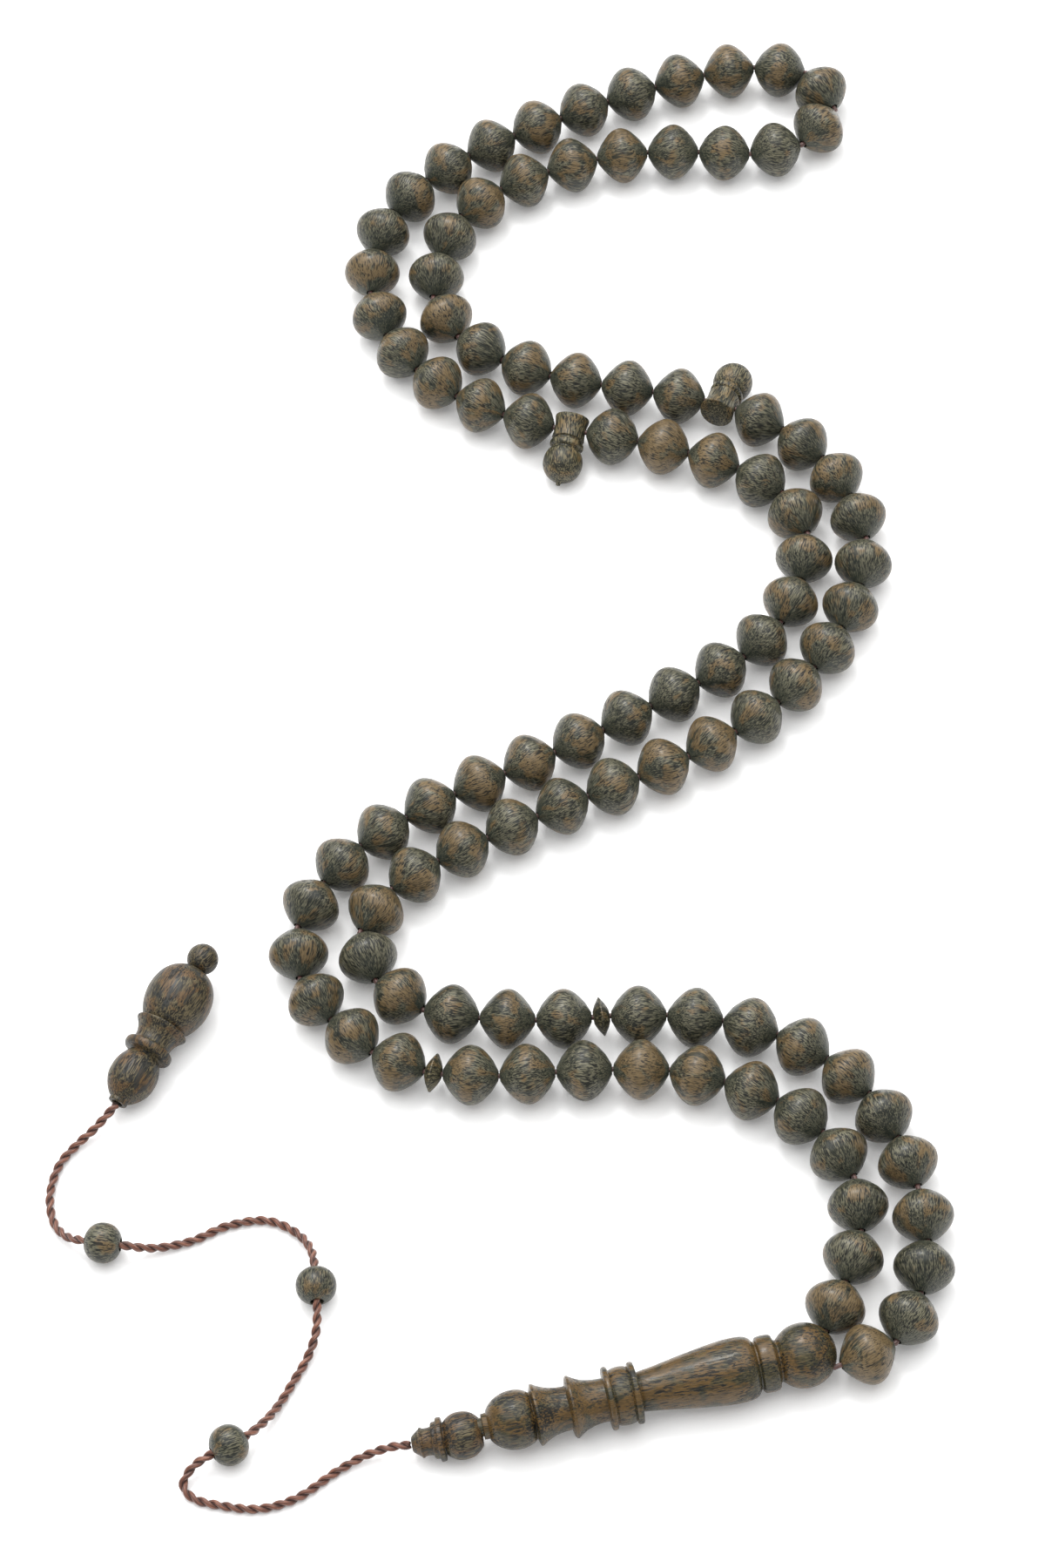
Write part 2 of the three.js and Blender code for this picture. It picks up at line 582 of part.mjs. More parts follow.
// ---------------------------------------------------------------- finial
add('finial', turnedWithBore(FINIAL_OUTLINE, FINIAL_BORE_RADIUS, FINIAL_SIDES), HONEY,
  finialStart, finialAxis);
const ballOutline = [];
const FINIAL_BALL_RINGS = 6;
for (let i = 0; i <= FINIAL_BALL_RINGS; i++) {
  const angle = (Math.PI * i) / FINIAL_BALL_RINGS;
  ballOutline.push([
    FINIAL_BALL_AT - FINIAL_BALL_RADIUS * Math.cos(angle), FINIAL_BALL_RADIUS * Math.sin(angle),
  ]);
}
add('finial_ball', turned(ballOutline, FINIAL_SIDES), HONEY, finialStart, finialAxis);

group.position.set(-STRAND_MIDDLE[0], -STRAND_MIDDLE[1], 0);

export default group;
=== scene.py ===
"""The looks of a misbaha laid out on a white table: turned wood, silk cords, floor, light, camera."""

import logging
import math
import random
from dataclasses import dataclass, field
from enum import Enum

import bmesh
import bpy
import numpy as np
from mathutils import Matrix, Vector


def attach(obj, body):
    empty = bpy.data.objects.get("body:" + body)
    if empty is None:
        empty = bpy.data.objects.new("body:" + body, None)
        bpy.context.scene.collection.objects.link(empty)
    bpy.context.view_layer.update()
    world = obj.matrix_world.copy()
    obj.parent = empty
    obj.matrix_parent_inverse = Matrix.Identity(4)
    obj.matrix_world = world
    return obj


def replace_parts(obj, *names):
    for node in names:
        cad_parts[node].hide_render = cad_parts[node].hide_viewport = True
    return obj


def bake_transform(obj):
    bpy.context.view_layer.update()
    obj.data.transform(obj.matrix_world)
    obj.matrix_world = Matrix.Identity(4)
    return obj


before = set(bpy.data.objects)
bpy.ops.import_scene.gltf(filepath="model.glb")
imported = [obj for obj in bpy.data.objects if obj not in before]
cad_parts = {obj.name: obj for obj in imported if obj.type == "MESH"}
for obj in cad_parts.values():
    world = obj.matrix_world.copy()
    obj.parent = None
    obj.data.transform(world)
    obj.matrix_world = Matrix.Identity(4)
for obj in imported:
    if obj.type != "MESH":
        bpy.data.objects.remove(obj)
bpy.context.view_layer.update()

log = logging.getLogger("misbaha")

MM = 0.001
UP = Vector((0, 0, 1))

# How much darker the pieces are painted than they look, because the studio's light is bright.
PAINT_DEPTH = 0.61

# The radius of the hole through a bead or disc, in millimetres.
BORE = 0.75

# The angles between two faces, in degrees, over which a turned rim is bevelled and a mesh is left sharp.
BEVEL_ANGLE = 38
SHARP_ANGLE = 40
Point = tuple[float, float]
Outline = list[list[Point]]

# The part's own origin, in the axes in which the routes below are given.
STRAND_MIDDLE = Vector((0.01286, 0.01288, 0))

# The bodies that carry the strand, each folding on the one before.
SECTIONS = ("head", "first_reach", "second_reach", "third_reach", "far_turn")

# The loop cord's crossings from bead to bead, out from the head's first hole and back to its second.
STRAND_ROUTE = (
    (0.0408, -0.1161), (0.0509, -0.1128), (0.0561, -0.1036), (0.0579, -0.0948),
    (0.0575, -0.0858), (0.0514, -0.0677), (0.038, -0.0555), (0.0195, -0.0499),
    (-0.0015, -0.0488), (-0.0207, -0.0445), (-0.0276, -0.0377), (-0.0289, -0.029),
    (-0.023, -0.0213), (0.0025, -0.0095), (0.02, -0.0036), (0.037, 0.0038),
    (0.0516, 0.0157), (0.061, 0.032), (0.0627, 0.0415), (0.0563, 0.059), (0.0425, 0.0705),
    (0.0275, 0.076), (0.0095, 0.0817), (-0.0057, 0.0928), (-0.0083, 0.102), (-0.0014, 0.1189),
    (0.0155, 0.127), (0.034, 0.129), (0.053, 0.1265), (0.063, 0.1289), (0.0676, 0.137),
    (0.062, 0.1448), (0.0525, 0.1465), (0.034, 0.1437), (0.0165, 0.1382), (-0.0007, 0.1313),
    (-0.0153, 0.119), (-0.0192, 0.1005), (-0.0107, 0.0832), (0.0045, 0.0724),
    (0.0275, 0.0645), (0.044, 0.0565), (0.0503, 0.05), (0.0528, 0.0415), (0.046, 0.0243),
    (0.0388, 0.0181), (0.022, 0.0098), (0.0045, 0.002), (-0.0126, -0.0044),
    (-0.0292, -0.0137), (-0.0397, -0.0285), (-0.039, -0.038), (-0.027, -0.0532),
    (-0.0145, -0.058), (0.0025, -0.0589), (0.021, -0.0606), (0.038, -0.0685),
    (0.0441, -0.0753), (0.0478, -0.084), (0.0475, -0.0929), (0.0441, -0.1014),
    (0.0399, -0.1099),
)

# The drop cord's way from the cap to the finial, between its two ends.
DROP_ROUTE = (
    (-0.0293, -0.1219, 0.0026), (-0.0339, -0.1225, 0.0014), (-0.0383, -0.1244, 0.0008),
    (-0.0451, -0.1285, 0.0008), (-0.0509, -0.1297, 0.0008), (-0.0568, -0.1286, 0.0008),
    (-0.0613, -0.1268, 0.0008), (-0.0626, -0.1246, 0.0011), (-0.061, -0.1223, 0.0022),
    (-0.0578, -0.1208, 0.0033), (-0.055, -0.1195, 0.0033), (-0.0522, -0.1182, 0.0033),
    (-0.0492, -0.1154, 0.0022), (-0.0469, -0.1122, 0.001), (-0.0443, -0.1081, 0.0008),
    (-0.0419, -0.1043, 0.0011), (-0.0403, -0.1006, 0.0024), (-0.0398, -0.0961, 0.0033),
    (-0.0398, -0.0929, 0.0033), (-0.0398, -0.0897, 0.0033), (-0.0404, -0.0856, 0.0022),
    (-0.0425, -0.082, 0.001), (-0.0471, -0.0792, 0.0008), (-0.0536, -0.0795, 0.0008),
    (-0.0596, -0.0817, 0.0008), (-0.0657, -0.0827, 0.0015), (-0.0707, -0.0826, 0.0033),
    (-0.0736, -0.0819, 0.0033), (-0.0765, -0.0812, 0.0033), (-0.0795, -0.0795, 0.002),
    (-0.0816, -0.0762, 0.0009), (-0.0821, -0.0712, 0.0008), (-0.0804, -0.0657, 0.0008),
    (-0.0776, -0.0625, 0.001), (-0.0743, -0.0601, 0.002),
)


# ---------------------------------------------------------------- lines and places


def curve_through(points: np.ndarray, steps: int) -> np.ndarray:
    """A smooth centripetal curve through points in any number of dimensions.

    Args:
        points: The points that the curve passes through, one to a row.
        steps: The number of samples from each point to the next.

    Returns:
        The samples, ends included, one to a row.
    """
    points = np.asarray(points, float)
    padded = np.vstack([2 * points[0] - points[1], points, 2 * points[-1] - points[-2]])
    t = np.linspace(0, 1, steps, endpoint=False)[:, None]
    samples = []
    for a, b, c, d in zip(padded, padded[1:], padded[2:], padded[3:]):
        before, here, after = (max(np.linalg.norm(q - p) ** 0.5, 1e-9) for p, q in ((a, b), (b, c), (c, d)))
        leave = ((b - a) / before - (c - a) / (before + here) + (c - b) / here) * here
        arrive = ((c - b) / here - (d - b) / (here + after) + (d - c) / after) * here
        square, cube = 3 * (c - b) - 2 * leave - arrive, 2 * (b - c) + leave + arrive
        samples.append(b + leave * t + square * t**2 + cube * t**3)
    return np.vstack([*samples, points[-1:]])


def direction(angle: float, tilt: float = 0.0) -> Vector:
    """The direction at an angle from +X in degrees, tilted up out of the table by another."""
    a, t = math.radians(angle), math.radians(tilt)
    return Vector((math.cos(a) * math.cos(t), math.sin(a) * math.cos(t), math.sin(t)))


@dataclass(frozen=True)
class Place:
    """Where a turned piece's middle lies, in metres, and which way its own Y axis runs."""

    point: Vector
    along: Vector

    def matrix(self) -> Matrix:
        """The turn and shift from the piece's own axes to the part's.

        Returns:
            The matrix, from the piece's own axes to the part's.
        """
        along = self.along.normalized()
        side = along.cross(UP).normalized()
        turn = Matrix((side, along, side.cross(along))).transposed()
        return Matrix.Translation(self.point) @ turn.to_4x4()

    def at(self, distance: float) -> Vector:
        """The point at a distance in millimetres along the piece's axis."""
        return self.point + self.along.normalized() * distance * MM


def mirrored(half: tuple) -> Outline:
    """One run over both ends of a piece, from its widest place to its end on one side."""
    return [[*((-y, r) for y, r in reversed(half[1:])), *half]]


# ---------------------------------------------------------------- shader building


class Signal:
    """A number that varies over a surface; arithmetic on it adds Math nodes."""

    def __init__(self, graph: "Graph", socket: bpy.types.NodeSocket) -> None:
        """Wraps one output socket of a graph."""
        self.graph = graph
        self.socket = socket

    def _with(self, operation: str, first: object, second: object) -> "Signal":
        """The result of one Math node on two values."""
        made = self.graph.node("ShaderNodeMath", {"operation": operation}, {0: first, 1: second})
        return Signal(self.graph, made.outputs[0])

    def __add__(self, other: object) -> "Signal":
        """self + other."""
        return self._with("ADD", self, other)

    __radd__ = __add__

    def __sub__(self, other: object) -> "Signal":
        """self - other."""
        return self._with("SUBTRACT", self, other)

    def __rsub__(self, other: object) -> "Signal":
        """other - self."""
        return self._with("SUBTRACT", other, self)

    def __mul__(self, other: object) -> "Signal":
        """self * other."""
        return self._with("MULTIPLY", self, other)

    __rmul__ = __mul__

    def step(self, low: float, high: float) -> "Signal":
        """A smooth step from 0 where self is low to 1 where it is high.

        Args:
            low: The value that gives nought.
            high: The value that gives one.

        Returns:
            The stepped value.
        """
        settings = {"interpolation_type": "SMOOTHSTEP"}
        inputs = {"Value": self, "From Min": low, "From Max": high}
        made = self.graph.node("ShaderNodeMapRange", settings, inputs)
        return Signal(self.graph, made.outputs["Result"])


class Graph:
    """One material's nodes."""

    def __init__(self, name: str) -> None:
        """Starts an empty material of that name.

        Args:
            name: The material's name.
        """
        self.material = bpy.data.materials.new(name)
        self.material.use_nodes = True
        self.tree = self.material.node_tree
        self.tree.nodes.clear()

    def node(self, kind: str, settings: dict | None = None, inputs: dict | None = None) -> bpy.types.Node:
        """Adds a node, with its settings made before its inputs.

        Args:
            kind: The node's type name.
            settings: Its properties, such as an operation.
            inputs: A value or link for each input, by name, number or identifier.

        Returns:
            The node.
        """
        made = self.tree.nodes.new(kind)
        for key, value in (settings or {}).items():
            setattr(made, key, value)
        for key, value in (inputs or {}).items():
            found = [s for s in made.inputs if s.identifier == key]
            socket = found[0] if found else made.inputs[key]
            if isinstance(value, Signal):
                value = value.socket
            if isinstance(value, bpy.types.NodeSocket):
                self.tree.links.new(value, socket)
            else:
                socket.default_value = value
        return made

    def attribute(self, name: str) -> bpy.types.Node:
        """The piece's own attribute of that name."""
        return self.node("ShaderNodeAttribute", {"attribute_name": name})

    def along_grain(
        self, grain: bpy.types.NodeSocket, width: float, length: float, shift: tuple
    ) -> bpy.types.NodeSocket:
        """Grain coordinates in which features of that width and length along Y are one unit across."""
        return self.stretched(grain, (1 / width, 1 / length, 1 / width), shift)

    def stretched(
        self, vector: bpy.types.NodeSocket, scale: tuple, shift: tuple = (0, 0, 0)
    ) -> bpy.types.NodeSocket:
        """A vector times a scale plus a shift, each axis by its own."""
        settings = {"operation": "MULTIPLY_ADD"}
        return self.node("ShaderNodeVectorMath", settings, {0: vector, 1: scale, 2: shift}).outputs[0]

    def noise(
        self, vector: bpy.types.NodeSocket, detail: float, roughness: float, distortion: float = 0.0
    ) -> Signal:
        """Noise with features about one unit across, about 0.5 on average.

        Args:
            vector: Where the noise is read.
            detail: How many octaves it has.
            roughness: The share of each finer octave.
            distortion: How far it is pulled about.

        Returns:
            The noise.
        """
        inputs = {"Vector": vector, "Scale": 1.0, "Detail": detail}
        inputs |= {"Roughness": roughness, "Distortion": distortion}
        return Signal(self, self.node("ShaderNodeTexNoise", None, inputs).outputs[0])

    def mix(self, first: object, second: object, factor: object) -> bpy.types.NodeSocket:
        """A colour between two colours."""
        inputs = {"Factor_Float": factor, "A_Color": first, "B_Color": second}
        return self.node("ShaderNodeMix", {"data_type": "RGBA"}, inputs).outputs[2]

    def finish(self, inputs: dict) -> bpy.types.Material:
        """Ends the graph in a Principled shader with those inputs.

        Args:
            inputs: The surface's values and links, by socket.

        Returns:
            The finished material.
        """
        shader = self.node("ShaderNodeBsdfPrincipled", None, inputs)
        self.node("ShaderNodeOutputMaterial", None, {"Surface": shader.outputs[0]})
        return self.material


def paint(red: int, green: int, blue: int) -> tuple[float, float, float, float]:
    """The linear colour that looks like display values from 0 to 255 under the studio's bright light.

    Args:
        red, green, blue: The colour as it is seen, 0 to 255.

    Returns:
        The colour in linear light, with an alpha of one.
    """
    shares = (c / 255 for c in (red, green, blue))
    linear = (c / 12.92 if c <= 0.04 else ((c + 0.055) / 1.055) ** 2.4 for c in shares)
    return (*(c * PAINT_DEPTH for c in linear), 1.0)


# ---------------------------------------------------------------- finishes


def level(share: float, spread: float = 0.3) -> float:
    """The value of a noise over which about that share of a surface lies."""
    return 0.5 + spread * (0.5 - share)


class Slot(Enum):
    """The record's material slots."""

    BEAD = "bead_wood"
    HEAD = "head_wood"
    FINIAL = "finial_wood"
    DIVIDER = "divider_wood"
    LOOP = "loop_cord"
    DROP = "drop_cord"


@dataclass(frozen=True)
class WoodFinish:
    """Polished wood: fine light and dark lines along the grain, warm clear patches, dark pores.

    Lengths are in millimetres. Every mesh of this finish has the point attributes grain (its own
    coordinates, moved to a place of its own in the timber), warmth (0 for an olive piece to 1 for a
    tan one) and polar (0 at its middle to 1 at its ends). The shares are of the surface.
    """

    slot: Slot
    dark: tuple
    light: tuple
    patch: tuple
    patch_shade: tuple
    pore: tuple
    polar: tuple
    stripe: tuple
    patch_share: float = 0.35
    pore_share: float = 0.2
    stripe_share: float = 0.1
    line_width: float = 0.17
    line_length: float = 1.2
    pore_width: float = 0.22
    pore_length: float = 1.6
    patch_size: float = 2.6
    softness: float = 0.11
    clustering: float = 0.4
    crown_warmth: float = 0.12
    gloss: float = 0.34

    def material(self) -> bpy.types.Material:
        """Builds the finish's material.

        Returns:
            The material.
        """
        g = Graph(self.slot.value)
        grain = g.attribute("grain").outputs["Vector"]
        warmth = Signal(g, g.attribute("warmth").outputs["Fac"])
        polar = Signal(g, g.attribute("polar").outputs["Fac"])

        width, length = self.line_width, self.line_length
        size = self.patch_size
        cloud = g.noise(g.along_grain(grain, size, size * 1.2, (0, 0, 0)), 2, 0.55, 0.4)
        tone = g.noise(g.along_grain(grain, size * 1.3, size * 2.4, (11, 5, 2)), 2, 0.5, 0.2)
        broad = g.noise(g.along_grain(grain, width, length, (7, 3, 5)), 1, 0.5, 0.35)
        hair = g.noise(g.along_grain(grain, width * 0.55, length * 0.5, (41, 13, 29)), 1, 0.5, 0.2)
        lines = broad * 0.62 + hair * 0.38
        pores = g.noise(g.along_grain(grain, self.pore_width, self.pore_length, (31, 17, 9)), 1, 0.5, 0.25)
        stripes = g.noise(g.along_grain(grain, 0.9, 9.0, (3, 57, 23)), 2, 0.5, 0.2)

        soft = self.softness
        weave = g.mix(self.dark, self.light, (lines + tone * 0.3 - 0.15).step(0.51 - soft, 0.51 + soft))
        weave = g.mix(weave, self.polar, polar * 0.5)
        clear = g.mix(self.patch_shade, self.patch, (lines + tone * 0.2 - 0.1).step(0.45 - soft, 0.45 + soft))
        edge = level(self.patch_share) + self.crown_warmth * 0.7
        warm = cloud + (lines - 0.5) * 0.22 + (warmth - 0.5) * 0.22 + (1 - polar) * self.crown_warmth
        warm = warm.step(edge - 0.05, edge + 0.09)
        base = g.mix(weave, clear, warm * 0.88)
        belt = level(self.stripe_share)
        base = g.mix(base, self.stripe, stripes.step(belt - 0.02, belt + 0.06) * 0.8)
        brim = level(self.pore_share, 0.28)
        dots = (pores + (tone - 0.5) * self.clustering - (warmth - 0.5) * 0.03).step(brim, brim + 0.06)
        base = g.mix(base, self.pore, dots * 0.9)
        rough = self.gloss + dots * 0.2 + lines * 0.12
        relief = {"Strength": 0.35, "Distance": 0.00008, "Height": lines * 0.6 - dots}
        bump = g.node("ShaderNodeBump", None, relief)
        inputs = {"Base Color": base, "Roughness": rough, "Normal": bump.outputs[0]}
        return g.finish(inputs | {"Specular IOR Level": 0.34})


@dataclass(frozen=True)
class SilkFinish:
    """Twisted silky yarn, darkened by painted shade in the grooves between its plies.

    Its meshes have the point attributes fibre (around and along the ply) and groove (how deep between two
    plies a point lies, which sets how much painted shade it gets).
    """

    slot: Slot
    light: tuple
    middle: tuple
    dark: tuple

    def material(self) -> bpy.types.Material:
        """Builds the finish's material.

        Returns:
            The material.
        """
        g = Graph(self.slot.value)
        fibre = g.attribute("fibre").outputs["Vector"]
        hair = g.noise(g.stretched(fibre, (7.0, 0.7, 7.0)), 3, 0.6, 0.2)
        cloud = g.noise(g.stretched(fibre, (1.2, 0.35, 1.2), (5, 2, 1)), 2, 0.5)
        base = g.mix(self.dark, self.middle, hair.step(0.3, 0.6))
        base = g.mix(base, self.light, hair.step(0.52, 0.72) * cloud.step(0.3, 0.65))
        # Painted shade: the yarn is drawn towards its dark colour where it lies deep in the groove between
        # two plies.
        groove = Signal(g, g.attribute("groove").outputs["Fac"])
        base = g.mix(base, self.dark, groove.step(0.12, 0.6) * 0.85)
        bump = g.node("ShaderNodeBump", None, {"Strength": 0.5, "Distance": 0.00008, "Height": hair})
        inputs = {"Base Color": base, "Roughness": 0.42, "Normal": bump.outputs[0], "Sheen Weight": 0.25}
        return g.finish(inputs)


BEAD_WOOD = WoodFinish(
    Slot.BEAD, dark=paint(35, 38, 31), light=paint(134, 130, 107), patch=paint(140, 117, 82),
    patch_shade=paint(76, 66, 47), pore=paint(18, 20, 16), polar=paint(75, 85, 78), stripe=paint(46, 51, 43),
    patch_share=0.32, stripe_share=0.05, patch_size=3.0, softness=0.1, crown_warmth=0.16, gloss=0.24,
)
HEAD_WOOD = WoodFinish(
    Slot.HEAD, dark=paint(38, 41, 30), light=paint(108, 98, 69), patch=paint(124, 95, 53),
    patch_shade=paint(79, 64, 40), pore=paint(13, 17, 15), polar=paint(86, 84, 63), stripe=paint(50, 52, 41),
    patch_share=0.6, pore_share=0.26, stripe_share=0.16, line_width=0.22, line_length=1.9, pore_width=0.24,
    pore_length=1.8, patch_size=3.6, softness=0.2, clustering=0.8, crown_warmth=0.0, gloss=0.2,
)
FINIAL_WOOD = WoodFinish(
    Slot.FINIAL, dark=paint(31, 29, 22), light=paint(124, 112, 83), patch=paint(121, 92, 57),
    patch_shade=paint(60, 47, 32), pore=paint(17, 16, 13), polar=paint(80, 82, 68), stripe=paint(46, 50, 49),
    patch_share=0.5, pore_share=0.2, stripe_share=0.3, line_width=0.2, line_length=2.2, pore_width=0.22,
    pore_length=2.2, patch_size=3.0, softness=0.12, clustering=0.6, crown_warmth=0.0,
)
DIVIDER_WOOD = WoodFinish(
    Slot.DIVIDER, dark=paint(40, 40, 30), light=paint(142, 134, 104), patch=paint(144, 122, 84),
    patch_shade=paint(80, 69, 44), pore=paint(22, 26, 21), polar=paint(92, 92, 72), stripe=paint(58, 60, 48),
    patch_share=0.42, pore_share=0.28, stripe_share=0.25, line_width=0.24, line_length=2.0, pore_width=0.26,
    pore_length=2.2, patch_size=2.6, crown_warmth=0.0,
)
LOOP_SILK = SilkFinish(Slot.LOOP, paint(158, 110, 98), paint(108, 68, 60), paint(62, 38, 33))
DROP_SILK = SilkFinish(Slot.DROP, paint(204, 146, 118), paint(142, 84, 60), paint(62, 28, 18))


Finish = WoodFinish | SilkFinish


class Wardrobe:
    """The finished materials, each built once."""

    made: dict[Slot, bpy.types.Material] = {}

    @classmethod
    def of(cls, finish: Finish) -> bpy.types.Material:
        """The finish's material, built the first time it is asked for.

        Args:
            finish: The finish.

        Returns:
            The material.
        """
        if finish.slot not in cls.made:
            cls.made[finish.slot] = finish.material()
        return cls.made[finish.slot]


# ---------------------------------------------------------------- making meshes


def set_floats(mesh: bpy.types.Mesh, name: str, values: np.ndarray) -> None:
    """Stores a number, or a vector, for every vertex of a mesh.

    Args:
        mesh: The mesh.
        name: The attribute's name.
        values: One value a vertex.
    """
    kind = "FLOAT" if values.ndim == 1 else "FLOAT_VECTOR"
    layer = mesh.attributes.new(name, kind, "POINT")
    layer.data.foreach_set("value" if kind == "FLOAT" else "vector", values.astype(np.float32).ravel())


def placed(name: str, mesh: bpy.types.Mesh, finish: Finish) -> bpy.types.Object:
    """Puts a finished mesh in the scene, in its finish's slot.

    Args:
        name: The object's name.
        mesh: Its mesh, already in place.
        finish: The finish that it wears.

    Returns:
        The object.
    """
    mesh.materials.append(Wardrobe.of(finish))
    piece = bpy.data.objects.new(name, mesh)
    bpy.context.scene.collection.objects.link(piece)
    return piece


def shown(name: str, mesh: bpy.types.Mesh, finish: Finish, body: str) -> bpy.types.Object:
    """Puts a finished mesh in the scene, on a body of the part.

    Args:
        name: The object's name.
        mesh: Its mesh, already in place.
        finish: The finish that it wears.
        body: The body that carries it.

    Returns:
        The object, riding its body.
    """
    piece = placed(name, mesh, finish)
    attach(piece, body)
    return piece


@dataclass
class Turning:
    """A piece turned on a lathe, from an outline of distances along its axis and radii, in mm."""

    name: str
    outline: Outline
    place: Place
    finish: Finish
    body: str
    sides: int = 48
    bore: float = 0.0
    edge: float = 0.0
    smooth: int = 4
    warmth: float = 0.5
    half_length: float = 0.0
    spin: float = 0.0
    fan: float = 0.0

    def profile(self) -> list[Point]:
        """The outline with each of its runs made a smooth line, closed through the bore if there is one.

        Returns:
            The points, from end to end.
        """
        points: list[Point] = []
        for run in self.outline:
            line = curve_through(np.array(run), self.smooth) if len(run) > 2 else np.array(run)
            points.extend((float(y), max(float(r), 0.0)) for y, r in line)
        if self.bore:
            points = [(points[0][0], self.bore), *points, (points[-1][0], self.bore)]
        return points

    def mesh(self) -> bpy.types.Mesh:
        """Spins the profile round the axis, softens its sharp rims and sets it in place.

        Returns:
            The mesh, in metres, in the part's axes.
        """
        bm = bmesh.new()
        line = [bm.verts.new((r, y, 0)) for y, r in self.profile()]
        for a, b in zip(line, line[1:]):
            bm.edges.new((a, b))
        if self.bore:
            bm.edges.new((line[-1], line[0]))
        bmesh.ops.spin(
            bm, geom=bm.verts[:] + bm.edges[:], cent=(0, 0, 0), axis=(0, 1, 0), angle=2 * math.pi,
            steps=self.sides, use_merge=True,
        )
        bmesh.ops.remove_doubles(bm, verts=bm.verts[:], dist=0.002)
        bmesh.ops.dissolve_degenerate(bm, edges=bm.edges[:], dist=0.0005)
        bmesh.ops.recalc_face_normals(bm, faces=bm.faces[:])
        if self.edge:
            sharp = [e for e in bm.edges if e.is_manifold and e.calc_face_angle() > math.radians(BEVEL_ANGLE)]
            bmesh.ops.bevel(
                bm, geom=sharp, offset=self.edge, offset_type="OFFSET", segments=2, profile=0.5,
                affect="EDGES", clamp_overlap=True, material=-1,
            )
        if self.spin:
            turn = Matrix.Rotation(self.spin, 3, "Y")
            bmesh.ops.rotate(bm, verts=bm.verts[:], cent=(0, 0, 0), matrix=turn)
        for face in bm.faces:
            face.smooth = True
        mesh = bpy.data.meshes.new(self.name)
        bm.to_mesh(mesh)
        bm.free()
        mesh.set_sharp_from_angle(angle=math.radians(SHARP_ANGLE))
        own = np.zeros(len(mesh.vertices) * 3)
        mesh.vertices.foreach_get("co", own)
        self.dress(mesh, own.reshape(-1, 3))
        mesh.transform(self.place.matrix() @ Matrix.Scale(MM, 4))
        return mesh

    def dress(self, mesh: bpy.types.Mesh, own: np.ndarray) -> None:
        """Stores what the finish reads: its place in the timber, its warmth and how near its poles.

        The piece's fan is how far the grain runs over its surface towards the poles, not straight along.

        Args:
            mesh: The mesh to store them on.
            own: The vertices in the piece's own axes, in mm.
        """
        if isinstance(self.finish, SilkFinish):
            set_floats(mesh, "fibre", own)
            return
        lot = random.Random(self.name)
        shift = np.array([lot.uniform(-900, 900) for _ in range(3)])
        tilt = lot.uniform(-0.2, 0.2)
        radius = np.maximum(np.hypot(own[:, 0], own[:, 2]), 1e-6)
        short = radius.max() - radius
        spread = 1 + self.fan * short / np.maximum(radius, 0.2)
        run = np.sign(own[:, 1]) * np.hypot(own[:, 1], self.fan * short)
        laid = np.column_stack([own[:, 0] * spread, run, own[:, 2] * spread])
        leant = laid + np.outer(laid[:, 1], [tilt, 0, -tilt])
        set_floats(mesh, "grain", leant + shift)
        set_floats(mesh, "warmth", np.full(len(own), self.warmth))
        half = self.half_length
        near = np.clip(np.abs(own[:, 1]) / half, 0, 1) ** 2 if half else np.zeros(len(own))
        set_floats(mesh, "polar", near)

    def build(self) -> bpy.types.Object:
        """Makes the piece and puts it in the scene."""
        return shown(self.name, self.mesh(), self.finish, self.body)


@dataclass
class Ply:
    """One round yarn laid along a line, with its turns counted for its fibres.

    A ply that is twisted round a core with another knows how deep in their groove each point lies, for the
    painted shade there.
    """

    line: np.ndarray
    radius: float
    sides: int = 8
    core: np.ndarray | None = None
    fibre_radius: float = 0.4
    verts: list = field(default_factory=list)
    faces: list = field(default_factory=list)
    fibre: list = field(default_factory=list)
    groove: list = field(default_factory=list)

    def sweep(self) -> "Ply":
        """Lays rings round the line, each turned as little as can be from the last, and closes the ends.

        Returns:
            The ply itself.
        """
        steps = np.gradient(self.line, axis=0)
        tangents = steps / np.linalg.norm(steps, axis=1)[:, None]
        side = np.cross(tangents[0], (0, 0, 1.0))
        side /= np.linalg.norm(side)
        width, run = 2 * self.radius, 0.0
        for i, (point, tangent) in enumerate(zip(self.line, tangents)):
            side = side - tangent * (side @ tangent)
            side /= np.linalg.norm(side)
            rise = np.cross(side, tangent)
            if i:
                run += float(np.linalg.norm(point - self.line[i - 1]))
            for k in range(self.sides):
                a = 2 * math.pi * k / self.sides
                c, s = math.cos(a), math.sin(a)
                vert = point + self.radius * (c * side + s * rise)
                out = width if self.core is None else np.linalg.norm(vert - self.core[i])
                self.verts.append(vert)
                self.groove.append(1 - out / width)
                self.fibre.append((c * self.fibre_radius, run / MM, s * self.fibre_radius))
        n = self.sides
        for i in range(len(self.line) - 1):
            for k in range(n):
                m = (k + 1) % n
                self.faces.append((i * n + k, i * n + m, (i + 1) * n + m, (i + 1) * n + k))
        last = (len(self.line) - 1) * n
        self.faces.append(tuple(range(n - 1, -1, -1)))
        self.faces.append(tuple(range(last, last + n)))
        return self


